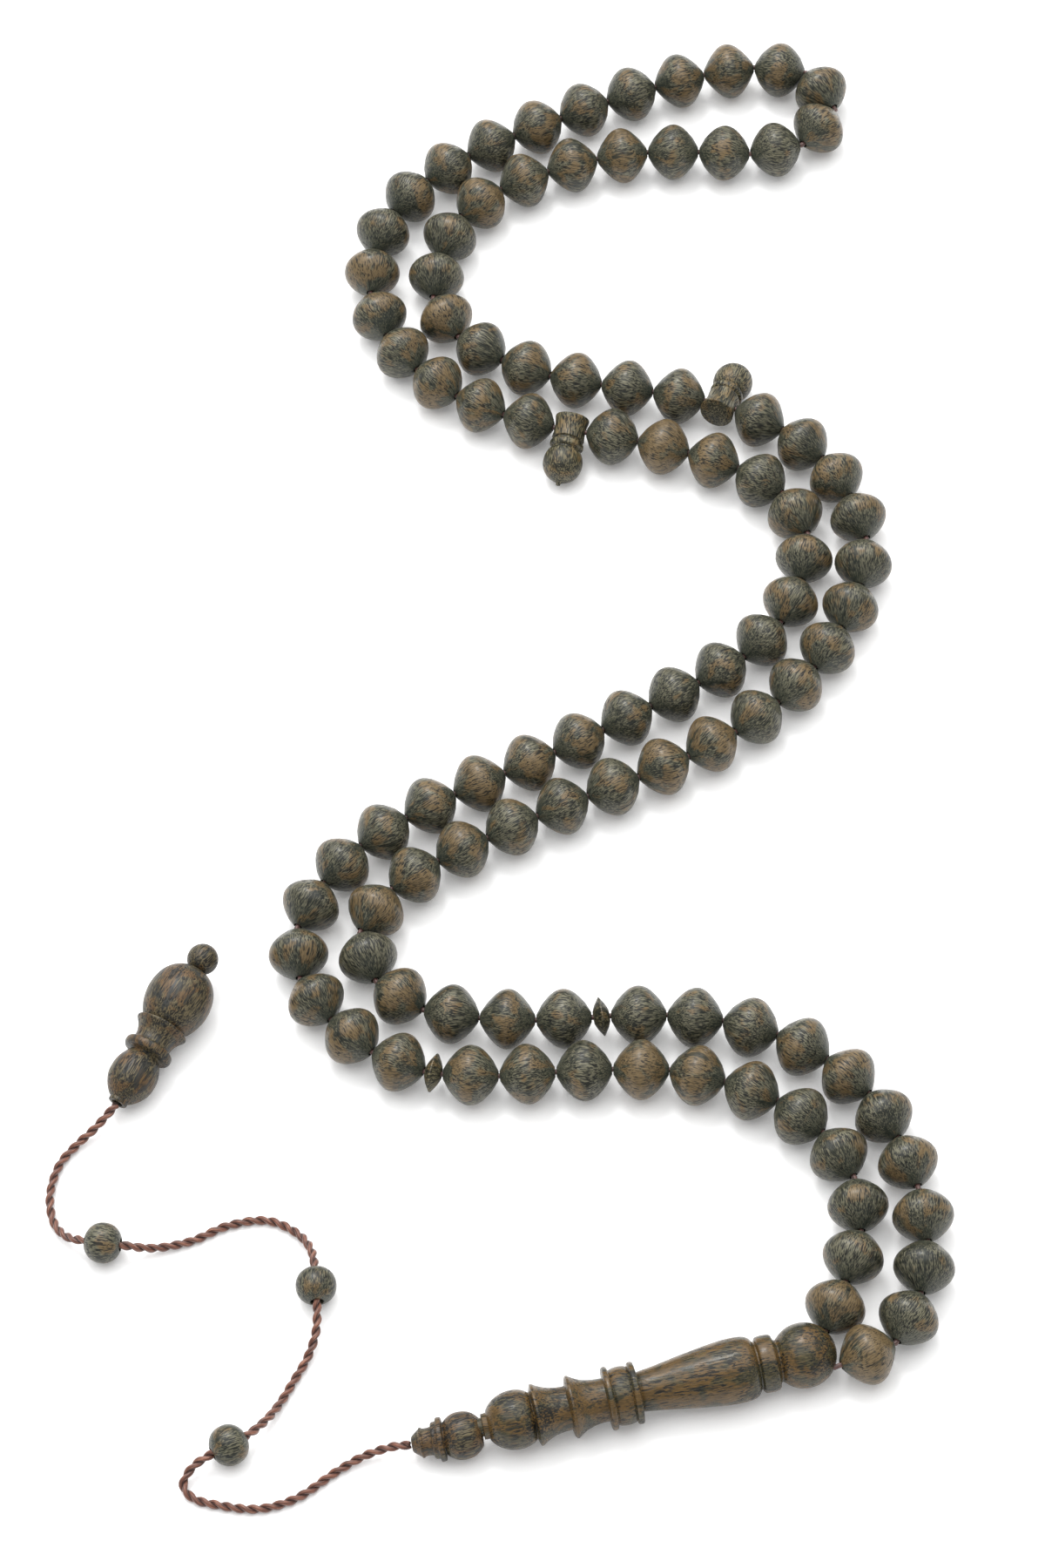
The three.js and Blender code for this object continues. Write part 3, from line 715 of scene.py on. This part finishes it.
def yarn_mesh(name: str, plies: list[Ply]) -> bpy.types.Mesh:
    """One mesh of all the plies of a cord, smooth, with its normals outwards.

    Args:
        name: The mesh's name.
        plies: The plies, already swept.

    Returns:
        The mesh.
    """
    verts, faces, fibre, groove = [], [], [], []
    for ply in plies:
        start = len(verts)
        verts += [tuple(v) for v in ply.verts]
        groove += ply.groove
        faces += [tuple(i + start for i in face) for face in ply.faces]
        fibre += [(x + 3 * start, y, z) for x, y, z in ply.fibre]
    mesh = bpy.data.meshes.new(name)
    mesh.from_pydata(verts, [], faces)
    bm = bmesh.new()
    bm.from_mesh(mesh)
    bmesh.ops.recalc_face_normals(bm, faces=bm.faces[:])
    for face in bm.faces:
        face.smooth = len(face.verts) == 4
    bm.to_mesh(mesh)
    bm.free()
    set_floats(mesh, "fibre", np.array(fibre))
    set_floats(mesh, "groove", np.array(groove, float))
    return mesh


# ---------------------------------------------------------------- threading the strand


class Kind(Enum):
    """What is threaded on the loop cord, with its length on the cord in millimetres."""

    BEAD = 9.0
    DISC = 2.7
    DIVIDER = 5.6


@dataclass
class Threaded:
    """One piece on the loop cord."""

    kind: Kind
    number: int
    place: Place | None = None


@dataclass
class Thread:
    """The loop cord's straight steps from piece to piece along its route.

    At a crossing the cord passes from one piece to the next. Lengths are in millimetres, and a fold
    is the pair of crossings after its two beads.
    """

    bead_count: int = 99
    disc_after: tuple = (11, 88)
    divider_after: tuple = (33, 66)
    folds: tuple = ((4, 96), (16, 84), (29, 71), (39, 61))
    height: float = 5.0
    half_gap: float = 0.17
    pole_radius: float = 1.0
    pole_clearance: float = 0.06
    fold_half_gap: float = 0.53
    head_gap: float = 1.2
    return_gap: float = 0.35
    least_ease: float = -0.3
    most_ease: float = 0.5
    rounds: int = 4
    halvings: int = 26
    route_steps: int = 60
    pieces: list[Threaded] = field(default_factory=list)

    def __post_init__(self) -> None:
        """Lists the pieces in order and threads them."""
        for number in range(1, self.bead_count + 1):
            self.pieces.append(Threaded(Kind.BEAD, number))
            if number in self.disc_after:
                self.pieces.append(Threaded(Kind.DISC, self.disc_after.index(number) + 1))
            if number in self.divider_after:
                self.pieces.append(Threaded(Kind.DIVIDER, self.divider_after.index(number) + 1))
        self.fold_crossings = [tuple(self.after(bead) for bead in pair) for pair in self.folds]
        flat = curve_through(np.array(STRAND_ROUTE), self.route_steps)
        self.route = np.column_stack([flat, np.full(len(flat), self.height * MM)]) - np.array(STRAND_MIDDLE)
        self.settle()

    def after(self, bead: int) -> int:
        """The number of the crossing after a bead."""
        found = [i for i, p in enumerate(self.pieces) if p.kind is Kind.BEAD and p.number == bead]
        return found[0] + 1

    def gaps(self, bends: np.ndarray, ease: float) -> np.ndarray:
        """Half of the room at each crossing.

        Args:
            bends: The turn at each crossing, in radians.
            ease: The spare room at each crossing, in millimetres.

        Returns:
            Half of the room at each crossing, in metres.
        """
        folds = {c for pair in self.fold_crossings for c in pair}
        room = self.pole_radius * np.tan(bends / 2) + self.pole_clearance
        least = [self.fold_half_gap if i in folds else self.half_gap for i in range(len(bends))]
        gaps = np.maximum(room, least) + ease
        gaps[0], gaps[-1] = self.head_gap, self.return_gap
        return gaps * MM

    def walk(self, gaps: np.ndarray) -> tuple[np.ndarray, bool]:
        """Steps along the route from crossing to crossing.

        Args:
            gaps: Half of the room at each crossing, in metres.

        Returns:
            The crossings, and whether any of the route is left.
        """
        crossings, here = [self.route[0]], 1
        last = len(self.route) - 1
        for i, piece in enumerate(self.pieces):
            step = gaps[i] + piece.kind.value * MM + gaps[i + 1]
            start = crossings[-1]
            while here < last and math.dist(self.route[here], start) < step:
                here += 1
            near, far = math.dist(self.route[here - 1], start), math.dist(self.route[here], start)
            share = (step - near) / (far - near)
            crossings.append(self.route[here - 1] + share * (self.route[here] - self.route[here - 1]))
        return np.array(crossings), here < last or share < 1

    def settle(self) -> None:
        """Spreads the spare length over the crossings, so that the strand just fills its route."""
        bends = np.zeros(len(self.pieces) + 1)
        for _ in range(self.rounds):
            low, high = self.least_ease, self.most_ease
            for _ in range(self.halvings):
                middle = (low + high) / 2
                left = self.walk(self.gaps(bends, middle))[1]
                low, high = (middle, high) if left else (low, middle)
            gaps = self.gaps(bends, low)
            crossings, _ = self.walk(gaps)
            steps = np.diff(crossings, axis=0)
            alongs = steps / np.linalg.norm(steps, axis=1)[:, None]
            turns = np.arccos(np.clip((alongs[1:] * alongs[:-1]).sum(1), -1, 1))
            bends = np.concatenate([[0], turns, [0]])
        self.crossings: np.ndarray = crossings
        self.alongs: np.ndarray = alongs
        for i, piece in enumerate(self.pieces):
            middle = crossings[i] + alongs[i] * (gaps[i] + piece.kind.value * MM / 2)
            piece.place = Place(Vector(middle), Vector(alongs[i]))
        log.info("thread: %d pieces, ease %.3f mm", len(self.pieces), low)

    def section(self, crossing: float) -> str:
        """The body that carries what lies at a crossing, or between two.

        Args:
            crossing: The crossing's number, or a half between two.

        Returns:
            The body's name.
        """
        for body, (out, back) in zip(SECTIONS, self.fold_crossings):
            if crossing < out or crossing > back:
                return body
        return SECTIONS[-1]


# ---------------------------------------------------------------- the strand


@dataclass
class Beads:
    """The ninety-nine counting beads, each of its own fullness and size but all with the same ends.

    Lengths are in millimetres. The runs are the beads that are joined in one length.
    """

    thread: Thread
    radius: float = 5.0
    half_length: float = 4.5
    end_from: float = 4.0
    half: tuple = (
        (0, 5), (0.5, 4.95), (1.0, 4.78), (1.5, 4.5), (2.0, 4.12), (2.5, 3.62), (3.06, 2.98), (3.6, 2.3),
        (4.38, 1.08), (4.5, 0.85),
    )
    single: tuple = (*range(1, 12), 33, 34, 50, 66, 67, *range(89, 100))
    runs: tuple = (
        (12, 16), (17, 29), (30, 32), (35, 39), (40, 49), (51, 61), (62, 65), (68, 71), (72, 84), (85, 88),
    )
    warm: dict = field(default_factory=lambda: {
        1: 1.25, 68: 1.1, 92: 1.0, 52: 0.8, 99: 0.75, 39: 0.95, 17: 0.85, 24: 0.9, 79: 0.9, 64: 0.8,
        3: 0.05, 10: 0.1, 97: 0.2, 60: 0.2, 12: 0.3, 48: 0.0, 16: 0.1, 76: 0.15,
    })

    def body(self, number: int, index: int) -> str:
        """The body of a bead: its own if it turns by itself, or else its section's."""
        return f"bead_{number:02d}" if number in self.single else self.thread.section(index + 0.5)

    def node(self, number: int) -> str:
        """The part's node that holds a bead.

        Args:
            number: The bead's number, from one.

        Returns:
            The node's name.
        """
        if number in self.single:
            return f"bead_{number:02d}"
        first, last = next(run for run in self.runs if run[0] <= number <= run[1])
        return f"beads_{first:02d}_to_{last:02d}"

    def build(self) -> list[bpy.types.Object]:
        """Turns every bead by itself, each a little different.

        Returns:
            The beads.
        """
        made = []
        for index, piece in enumerate(self.thread.pieces):
            if piece.kind is not Kind.BEAD:
                continue
            lot = random.Random(1000 + piece.number)
            full, size = lot.uniform(0.84, 1.0), lot.uniform(0.985, 1.0)
            half = tuple(
                (y, r if y > self.end_from else self.radius * (r / self.radius) ** full * size)
                for y, r in self.half
            )
            bead = Turning(
                f"wood_bead_{piece.number:02d}", mirrored(half), piece.place, BEAD_WOOD,
                self.body(piece.number, index), sides=32, bore=BORE, smooth=1,
                warmth=self.warm.get(piece.number, lot.uniform(0.25, 0.75)), half_length=self.half_length,
                spin=lot.uniform(0, 6), fan=0.6,
            ).build()
            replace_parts(bead, self.node(piece.number))
            made.append(bead)
        return made


@dataclass
class Spacers:
    """The two thin counting discs and the two dividers.

    The discs lean to a side by disc_lean and the dividers' balls droop by droop, in degrees.
    """

    thread: Thread
    disc: Outline = field(default_factory=lambda: [
        [(-1.3, 1.05), (-0.9, 1.95), (-0.45, 2.66), (-0.08, 3.22)],
        [(0.08, 3.22), (0.45, 2.66), (0.9, 1.95), (1.3, 1.05)],
    ])
    divider: Outline = field(default_factory=lambda: [
        [(-2.3, 0), (-2.3, 2.75)],
        [(-2.2, 2.98), (-2.0, 3.0), (-1.0, 2.82), (0, 2.72), (1.0, 2.76), (1.85, 2.86)],
        [(2.0, 2.5), (2.35, 2.5)],
        [(2.5, 2.82), (2.75, 2.95), (3.3, 2.95), (3.5, 2.82)],
        [(3.65, 2.5), (3.95, 2.5)],
        [(4.1, 2.72), (4.6, 3.05), (5.4, 3.34), (6.4, 3.46), (7.4, 3.34), (8.4, 2.9), (9.2, 2.2), (9.8, 1.2),
         (10.15, 0.55)],
        [(10.3, 0.42), (10.6, 0.36), (10.7, 0.0)],
    ])
    droop: float = 13.0
    disc_lean: tuple = (6.0, -5.0)

    def build(self) -> list[bpy.types.Object]:
        """Turns both discs and both dividers.

        Returns:
            The four pieces.
        """
        made = []
        for piece in self.thread.pieces:
            if piece.kind is Kind.DISC:
                name = f"disc_{piece.number}"
                lean = Matrix.Rotation(math.radians(self.disc_lean[piece.number - 1]), 3, "Z")
                place = Place(piece.place.point, lean @ piece.place.along)
                turned = Turning(
                    f"turned_{name}", self.disc, place, DIVIDER_WOOD, name, bore=BORE, warmth=0.35,
                    half_length=3.0, fan=0.6,
                )
            elif piece.kind is Kind.DIVIDER:
                name = f"divider_{piece.number}"
                droop = math.radians(self.droop)
                along = piece.place.along.cross(UP).normalized() * math.cos(droop) - UP * math.sin(droop)
                place = Place(piece.place.point, along)
                turned = Turning(
                    f"turned_{name}", self.divider, place, DIVIDER_WOOD, name, edge=0.06, warmth=0.45,
                )
            else:
                continue
            made.append(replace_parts(turned.build(), name))
        return made


@dataclass
class LoopCord:
    """The thin cord through the beads: a length for each section, and a bridge across each fold.

    Each length stops a fold_end short of its fold, and a bridge, thicker by its cover, reaches over both
    ends, turning at the fold. Lengths are in millimetres.
    """

    thread: Thread
    head: Place
    radius: float = 0.45
    hole_depth: float = 1.7
    fold_end: float = 0.3
    bridge: float = 2.4
    cover: float = 0.02
    bend_share: float = 0.2

    def inside_head(self, mouth: np.ndarray) -> np.ndarray:
        """Where the cord's end lies inside the head, on the line from its middle to a hole.

        Args:
            mouth: The hole's mouth.

        Returns:
            The point.
        """
        centre = np.array(self.head.point)
        out = mouth - centre
        return centre + out / np.linalg.norm(out) * self.hole_depth * MM

    def points(self, start: int | None, end: int | None) -> list[np.ndarray]:
        """The points of a length from just after one crossing to just before another.

        Args:
            start: The first crossing, or None for a length that starts in the head.
            end: The second crossing, or None for a length that ends in the head.

        Returns:
            The points.
        """
        cross, along = self.thread.crossings, self.thread.alongs
        near = self.fold_end * MM
        if start is None:
            return [self.inside_head(cross[0]), *cross[:end], cross[end] - along[end - 1] * near]
        first = cross[start] + along[start] * near
        if end is None:
            return [first, *cross[start + 1:], self.inside_head(cross[-1])]
        return [first, *cross[start + 1: end], cross[end] - along[end - 1] * near]

    def length(self, name: str, body: str, start: int | None, end: int | None) -> bpy.types.Object:
        """One length of the cord on one body.

        Args:
            name: What follows silk_ and loop_cord_ in the names.
            body: The body that carries it.
            start: The first crossing, or None for one that starts in the head.
            end: The second crossing, or None for one that ends in the head.

        Returns:
            The length.
        """
        points, line = self.points(start, end), []
        for a, b in zip(points, points[1:]):
            line += [a + (b - a) * t for t in (0, 0.25, 0.5, 0.75)]
        line.append(points[-1])
        mesh = yarn_mesh(f"silk_{name}", [Ply(np.array(line), self.radius * MM).sweep()])
        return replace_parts(shown(f"silk_{name}", mesh, LOOP_SILK, body), f"loop_cord_{name}")

    def build(self) -> list[bpy.types.Object]:
        """Lays the cord's lengths and bridges.

        Returns:
            The lengths and the bridges.
        """
        folds = self.thread.fold_crossings
        first, last = folds[0], folds[-1]
        made = [self.length("head_out", SECTIONS[0], None, first[0])]
        made.append(self.length("head_back", SECTIONS[0], first[1], None))
        for k, ((a, d), (b, c)) in enumerate(zip(folds, folds[1:]), 1):
            made.append(self.length(f"reach_{k}_out", SECTIONS[k], a, b))
            made.append(self.length(f"reach_{k}_back", SECTIONS[k], c, d))
        made.append(self.length("far_turn", SECTIONS[-1], *last))
        for k, (out, back) in enumerate(folds, 1):
            near, far = SECTIONS[k - 1], SECTIONS[k]
            made.append(self.bridge_at(f"silk_fold_{k}_out", out, True))
            made.append(self.bridge_at(f"silk_fold_{k}_back", back, False))
        return made

    def bridge_at(self, name: str, crossing: int, outwards: bool) -> bpy.types.Object:
        """A short length of the cord that bends across a fold.

        Args:
            name: The object's name.
            crossing: The fold's crossing.
            outwards: Whether the cord runs away from the head here.

        Returns:
            The bridge.
        """
        point = self.thread.crossings[crossing]
        before, after = self.thread.alongs[crossing - 1], self.thread.alongs[crossing]
        reach = self.bridge * MM
        line = [point - before * reach * s for s in (1, 0.6, 0.3, 0.15)] + [point]
        line += [point + after * reach * s for s in (0.15, 0.3, 0.6, 1)]
        mesh = yarn_mesh(name, [Ply(np.array(line), (self.radius + self.cover) * MM).sweep()])
        piece = placed(name, mesh, LOOP_SILK)
        start, end = point - before * reach * self.bend_share, point + after * reach * self.bend_share
        if not outwards:
            start, end = end, start
        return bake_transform(piece)


# ---------------------------------------------------------------- head piece, cap and finial


@dataclass
class HeadPiece:
    """The long turned head piece, with its ball at the loop's end, and what lies in its bore.

    Lengths are in millimetres from the ball's middle; the ball's arc ends at ball_ends degrees.
    """

    place: Place
    ball: float = 5.2
    ball_ends: float = 136.0
    length: float = 52.6
    body: Outline = field(default_factory=lambda: [
        [(3.75, 3.6), (4.1, 3.35), (4.45, 3.6)],
        [(4.6, 4.15), (4.85, 4.42), (5.2, 4.5), (6.0, 4.56), (6.8, 4.5), (7.1, 4.4), (7.3, 4.15)],
        [(7.42, 3.85), (7.65, 3.85)],
        [(7.8, 4.15), (8.2, 4.62), (8.9, 4.98), (10.0, 5.17), (11.4, 5.2), (12.9, 5.12), (15.2, 4.86),
         (19.4, 4.25), (23.6, 3.56), (26.3, 3.2)],
        [(26.5, 3.1), (26.75, 4.6)],
        [(26.8, 4.85), (27.0, 4.95), (27.5, 4.95), (27.7, 4.8)],
        [(27.8, 4.35), (28.3, 4.55), (29.3, 4.68), (30.3, 4.55), (30.8, 4.35)],
        [(30.95, 4.85), (31.15, 5.04), (31.65, 5.04), (31.85, 4.85)],
        [(32.0, 3.45), (33.2, 3.5), (34.4, 3.66), (35.5, 3.98), (36.5, 4.45), (37.1, 4.85)],
        [(37.3, 5.0), (37.6, 4.98)],
        [(37.85, 4.6), (38.05, 3.55)],
        [(38.2, 3.5), (39.3, 3.56), (40.5, 3.76), (41.6, 4.15), (42.5, 4.6), (42.9, 4.86)],
        [(43.05, 4.95), (43.35, 4.93)],
        [(43.5, 4.5), (43.7, 3.75)],
        [(43.8, 3.75), (44.3, 4.15), (45.2, 4.53), (46.3, 4.7), (47.4, 4.63), (48.6, 4.3), (49.6, 3.78),
         (50.4, 3.1), (50.9, 2.45)],
        [(51.0, 2.1), (51.8, 2.05)],
        [(51.85, 1.5), (52.55, 1.45)],
    ])

    def build(self) -> list[bpy.types.Object]:
        """Turns the head piece and lays the cord in its bore.

        Returns:
            The two pieces.
        """
        angles = np.radians(np.linspace(0, self.ball_ends, 22))
        ball = [[(-self.ball * math.cos(a), self.ball * math.sin(a))] for a in angles]
        outline = [*ball, *self.body, [(self.length, 0.0)]]
        turned = Turning(
            "turned_imame", outline, self.place, HEAD_WOOD, "head", sides=96, edge=0.08, warmth=0.55,
            smooth=5,
        ).build()
        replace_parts(turned, "imame")
        core = [[(1.8, 0), (1.8, 0.7)], [(51.6, 0.7), (51.6, 0)]]
        silk = Turning("silk_in_imame", core, self.place, LOOP_SILK, "head", sides=12).build()
        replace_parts(silk, "cord_in_imame")
        return [turned, silk]


@dataclass
class Cap:
    """The cap under the head piece, with the knot that holds it."""

    place: Place
    outline: Outline = field(default_factory=lambda: [
        [(3.4, 1.0), (3.4, 1.9)], [(-0.2, 1.9), (-0.2, 2.15)],
        [(-0.1, 2.3), (0.7, 3.1), (1.6, 3.6), (2.85, 3.8), (4.0, 3.66), (5.0, 3.15), (5.6, 2.62)],
        [(5.75, 2.6), (5.85, 3.35)], [(5.95, 3.5), (6.6, 3.5), (6.72, 3.35)],
        [(6.8, 3.0), (7.0, 2.95), (7.4, 2.9), (7.6, 2.7)], [(7.65, 2.3), (8.2, 2.2), (8.8, 2.2), (9.1, 2.28)],
        [(9.2, 2.4), (9.4, 2.42), (9.55, 2.35)], [(9.6, 2.2), (10.2, 1.75), (10.7, 1.35), (10.9, 1.1)],
    ])

    def build(self) -> list[bpy.types.Object]:
        """Turns the cap and ties the knot inside it.

        Returns:
            The two pieces.
        """
        cap = Turning(
            "turned_cap", self.outline, self.place, FINIAL_WOOD, "cap", sides=64, bore=0.85, edge=0.06,
            warmth=0.75,
        ).build()
        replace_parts(cap, "cap")
        knot = [
            [(0.4, 0), (0.45, 0.5), (0.8, 0.8), (1.75, 0.82), (2.6, 0.8), (3.2, 0.6)],
            [(10.8, 0.6), (10.8, 0)],
        ]
        tied = Turning("silk_end_knot", knot, self.place, DROP_SILK, "head", sides=16).build()
        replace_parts(tied, "end_knot")
        return [cap, tied]


@dataclass
class Drop:
    """The twisted drop cord with its three small beads, the finial and the finial's ball."""

    cap: Place
    finial: Place
    cap_length: float = 10.9
    end_gap: float = 0.3
    ply_radius: float = 0.40
    ply_offset: float = 0.36
    lay_length: float = 4.1
    steps_per_turn: int = 14
    bead: tuple = ((0, 3.3), (0.8, 3.22), (1.6, 2.9), (2.3, 2.3), (2.75, 1.6), (2.9, 1.25))
    bead_radius: float = 3.3
    bead_places: tuple = (((-55.0, -119.5), 25.0), ((-39.8, -92.9), 90.0), ((-73.6, -81.9), 167.0))
    outline: Outline = field(default_factory=lambda: [
        [(0, 1.2), (0, 1.5)], [(0.1, 1.6), (0.5, 1.62)],
        [(0.65, 1.6), (1.2, 2.25), (2.4, 3.2), (3.8, 3.84), (5.2, 4.0), (6.8, 3.84), (8.2, 3.3), (9.2, 2.75)],
        [(9.3, 2.85), (9.45, 3.5)], [(9.6, 3.9), (9.95, 4.12), (10.4, 4.18), (10.85, 4.08), (11.1, 3.8)],
        [(11.2, 3.4), (11.7, 3.24), (12.4, 3.26), (13.2, 3.5), (14.0, 3.94), (14.5, 4.3)],
        [(14.65, 4.44), (14.85, 4.5), (15.0, 4.44)],
        [(15.05, 3.5), (15.9, 4.15), (17.4, 4.92), (19.2, 5.4), (20.6, 5.5), (22.2, 5.32), (23.6, 4.88),
         (24.8, 4.14), (25.7, 3.2), (26.2, 2.3), (26.3, 1.6)],
    ])
    ball_at: float = 28.7
    ball: float = 2.6

    def centreline(self) -> np.ndarray:
        """The drop cord's line from the cap's tip to the finial's mouth.

        Returns:
            The line's points, in metres, evenly spaced.
        """
        start = self.cap.at(self.cap_length + self.end_gap)
        end = self.finial.at(-self.end_gap)
        middle = [np.array(p) - np.array(STRAND_MIDDLE) for p in DROP_ROUTE]
        line = curve_through(np.array([start, *middle, end]), 24)
        run = np.concatenate([[0], np.cumsum(np.linalg.norm(np.diff(line, axis=0), axis=1))])
        at = np.arange(0, run[-1], self.lay_length * MM / self.steps_per_turn)
        return np.column_stack([np.interp([*at, run[-1]], run, line[:, k]) for k in range(3)])

    def cord(self) -> bpy.types.Object:
        """Twists two plies together along the cord's line.


        Returns:
            The cord.
        """
        line = self.centreline()
        steps = np.gradient(line, axis=0)
        along = steps / np.linalg.norm(steps, axis=1)[:, None]
        side = np.cross(along, (0, 0, 1.0))
        side /= np.linalg.norm(side, axis=1)[:, None]
        rise = np.cross(side, along)
        run = np.concatenate([[0], np.cumsum(np.linalg.norm(np.diff(line, axis=0), axis=1))])
        turn = 2 * math.pi * run / (self.lay_length * MM)
        plies = []
        for half in (0, math.pi):
            c, s = np.cos(turn + half)[:, None], np.sin(turn + half)[:, None]
            wound = line + self.ply_offset * MM * (c * rise + s * side)
            plies.append(Ply(wound, self.ply_radius * MM, 12, core=line).sweep())
        piece = shown("twisted_drop_cord", yarn_mesh("twisted_drop_cord", plies), DROP_SILK, "pendant")
        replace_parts(piece, "drop_cord")
        log.info("drop cord: %.1f mm", run[-1] / MM)
        return piece

    def build(self) -> list[bpy.types.Object]:
        """Turns the small beads and the finial and lays the cord to them.

        Returns:
            The pieces, the cord last.
        """
        made = []
        for k, ((x, y), angle) in enumerate(self.bead_places, 1):
            place = Place(Vector((x, y, self.bead_radius)) * MM - STRAND_MIDDLE, direction(angle))
            bead = Turning(
                f"wood_drop_bead_{k}", mirrored(self.bead), place, BEAD_WOOD, f"drop_bead_{k}", sides=40,
                bore=1.1, smooth=2, warmth=0.4, half_length=3.4, fan=0.5,
            ).build()
            made.append(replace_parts(bead, f"drop_bead_{k}"))
        turned = Turning(
            "turned_finial", self.outline, self.finial, FINIAL_WOOD, "finial", sides=80, bore=0.95, edge=0.07,
            warmth=0.5,
        ).build()
        made.append(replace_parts(turned, "finial"))
        angles = np.radians(np.linspace(0, 180, 25))
        arc = [[(self.ball_at - self.ball * math.cos(a), abs(self.ball * math.sin(a)))] for a in angles]
        ball = Turning(
            "turned_finial_ball", arc, self.finial, FINIAL_WOOD, "finial", sides=40, warmth=0.3,
        ).build()
        made.append(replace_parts(ball, "finial_ball"))
        made.append(self.cord())
        return made


# ---------------------------------------------------------------- table, light and camera


@dataclass
class Studio:
    """A white table under soft light, and the camera looking down at the strand."""

    elevation: float = 57.8
    roll: float = -5.0
    distance: float = 0.928
    lens: float = 126.0
    film_height: float = 36.0
    room_light: float = 0.58
    # The table's own glow, though it is no lamp: painted light that lightens the shadows on the table and a
    # little of the pieces' undersides.
    table_glow: float = 0.12

    def table(self) -> None:
        """Lays the white table top under the strand, glowing faintly though it is no lamp, which lightens the
        shadows on it.
        """
        bm = bmesh.new()
        bmesh.ops.create_grid(bm, x_segments=1, y_segments=1, size=3.0)
        mesh = bpy.data.meshes.new("table")
        bm.to_mesh(mesh)
        bm.free()
        g = Graph("white_table")
        white = {
            "Base Color": (0.9, 0.9, 0.9, 1), "Roughness": 0.9, "Specular IOR Level": 0.1,
            "Emission Color": (1, 1, 1, 1), "Emission Strength": self.table_glow,
        }
        mesh.materials.append(g.finish(white))
        top = bpy.data.objects.new("table", mesh)
        bpy.context.scene.collection.objects.link(top)

    def lamp(self, name: str, at: tuple, size: float, power: float) -> None:
        """Hangs one square soft light, facing the strand's middle.

        Args:
            name: The lamp's name.
            at: Where it stands, in metres.
            size: Its width, in metres.
            power: Its power, in watts.
        """
        light = bpy.data.lights.new(name, "AREA")
        light.size = size
        light.energy = power
        piece = bpy.data.objects.new(name, light)
        piece.location = at
        piece.rotation_euler = (-Vector(at)).to_track_quat("-Z", "Y").to_euler()
        bpy.context.scene.collection.objects.link(piece)

    def light(self) -> None:
        """Lights the table evenly, with a little more from above and behind."""
        world = bpy.data.worlds.new("white_room")
        world.use_nodes = True
        background = world.node_tree.nodes["Background"]
        background.inputs["Color"].default_value = (1, 1, 1, 1)
        background.inputs["Strength"].default_value = self.room_light
        bpy.context.scene.world = world
        self.lamp("softbox", (-0.1, 0.7, 1.85), 3.6, 84.0)
        self.lamp("key", (-0.3, 1.2, 2.25), 0.7, 22.0)
        bpy.context.scene.view_settings.view_transform = "Standard"

    def camera(self) -> None:
        """Sets the camera at the height and turn from which the strand is seen."""
        el, roll = math.radians(self.elevation), math.radians(self.roll)
        forward = Vector((0, math.cos(el), -math.sin(el)))
        up = Vector((0, math.sin(el), math.cos(el)))
        right = Vector((1, 0, 0))
        turned_right = right * math.cos(roll) + up * math.sin(roll)
        turned_up = up * math.cos(roll) - right * math.sin(roll)
        data = bpy.data.cameras.new("camera")
        data.sensor_fit = "VERTICAL"
        data.sensor_height = self.film_height
        data.sensor_width = self.film_height * 2 / 3
        data.lens = self.lens
        piece = bpy.data.objects.new("camera", data)
        turn = Matrix((turned_right, turned_up, -forward)).transposed().to_4x4()
        piece.matrix_world = Matrix.Translation(-forward * self.distance - STRAND_MIDDLE) @ turn
        bpy.context.scene.collection.objects.link(piece)
        bpy.context.scene.camera = piece

    def build(self) -> None:
        """Sets the camera, the table and the light."""
        self.camera()
        self.table()
        self.light()


@dataclass(frozen=True)
class Layout:
    """Where the head piece, the cap and the finial lie, in millimetres and degrees, in the routes' axes.

    The head piece lies on a flat of its widest band, which has sixteen, and the cap droops from its end.
    """

    head_middle: Point = (36.27, -113.57)
    head_angle: float = 188.3
    head_radius: float = 5.2
    head_flats: int = 16
    cap_start: tuple = (-15.43, -121.46, 3.85)
    cap_angle: float = 183.5
    cap_droop: float = 4.5
    cap_widest: float = 2.85
    finial_mouth: tuple = (-70.4, -56.7, 3.6)
    finial_angle: float = 57.6
    finial_rise: float = 5.4

    def head(self) -> Place:
        """The head piece's place, from the middle of its ball."""
        height = self.head_radius * math.cos(math.pi / self.head_flats)
        return Place(Vector((*self.head_middle, height)) * MM - STRAND_MIDDLE, direction(self.head_angle))

    def cap(self) -> Place:
        """The cap's place, from its upper end, raised to bring its widest part level with the head's end.

        Returns:
            The place.
        """
        x, y, z = self.cap_start
        z += self.cap_widest * math.sin(math.radians(self.cap_droop))
        return Place(Vector((x, y, z)) * MM - STRAND_MIDDLE, direction(self.cap_angle, -self.cap_droop))

    def finial(self) -> Place:
        """The finial's place, from its mouth."""
        along = direction(self.finial_angle, self.finial_rise)
        return Place(Vector(self.finial_mouth) * MM - STRAND_MIDDLE, along)


def main() -> None:
    """Builds the studio and the misbaha."""
    logging.basicConfig(level=logging.INFO, format="%(name)s: %(message)s")
    Studio().build()

    layout = Layout()
    thread = Thread()
    made = Drop(layout.cap(), layout.finial()).build()
    made += LoopCord(thread, layout.head()).build()
    made += Beads(thread).build()
    made += Spacers(thread).build()
    made += HeadPiece(layout.head()).build()
    made += Cap(layout.cap()).build()
    for piece in made:
        log.info("%s: %d faces", piece.name, len(piece.data.polygons))


if __name__ == "__main__":
    main()
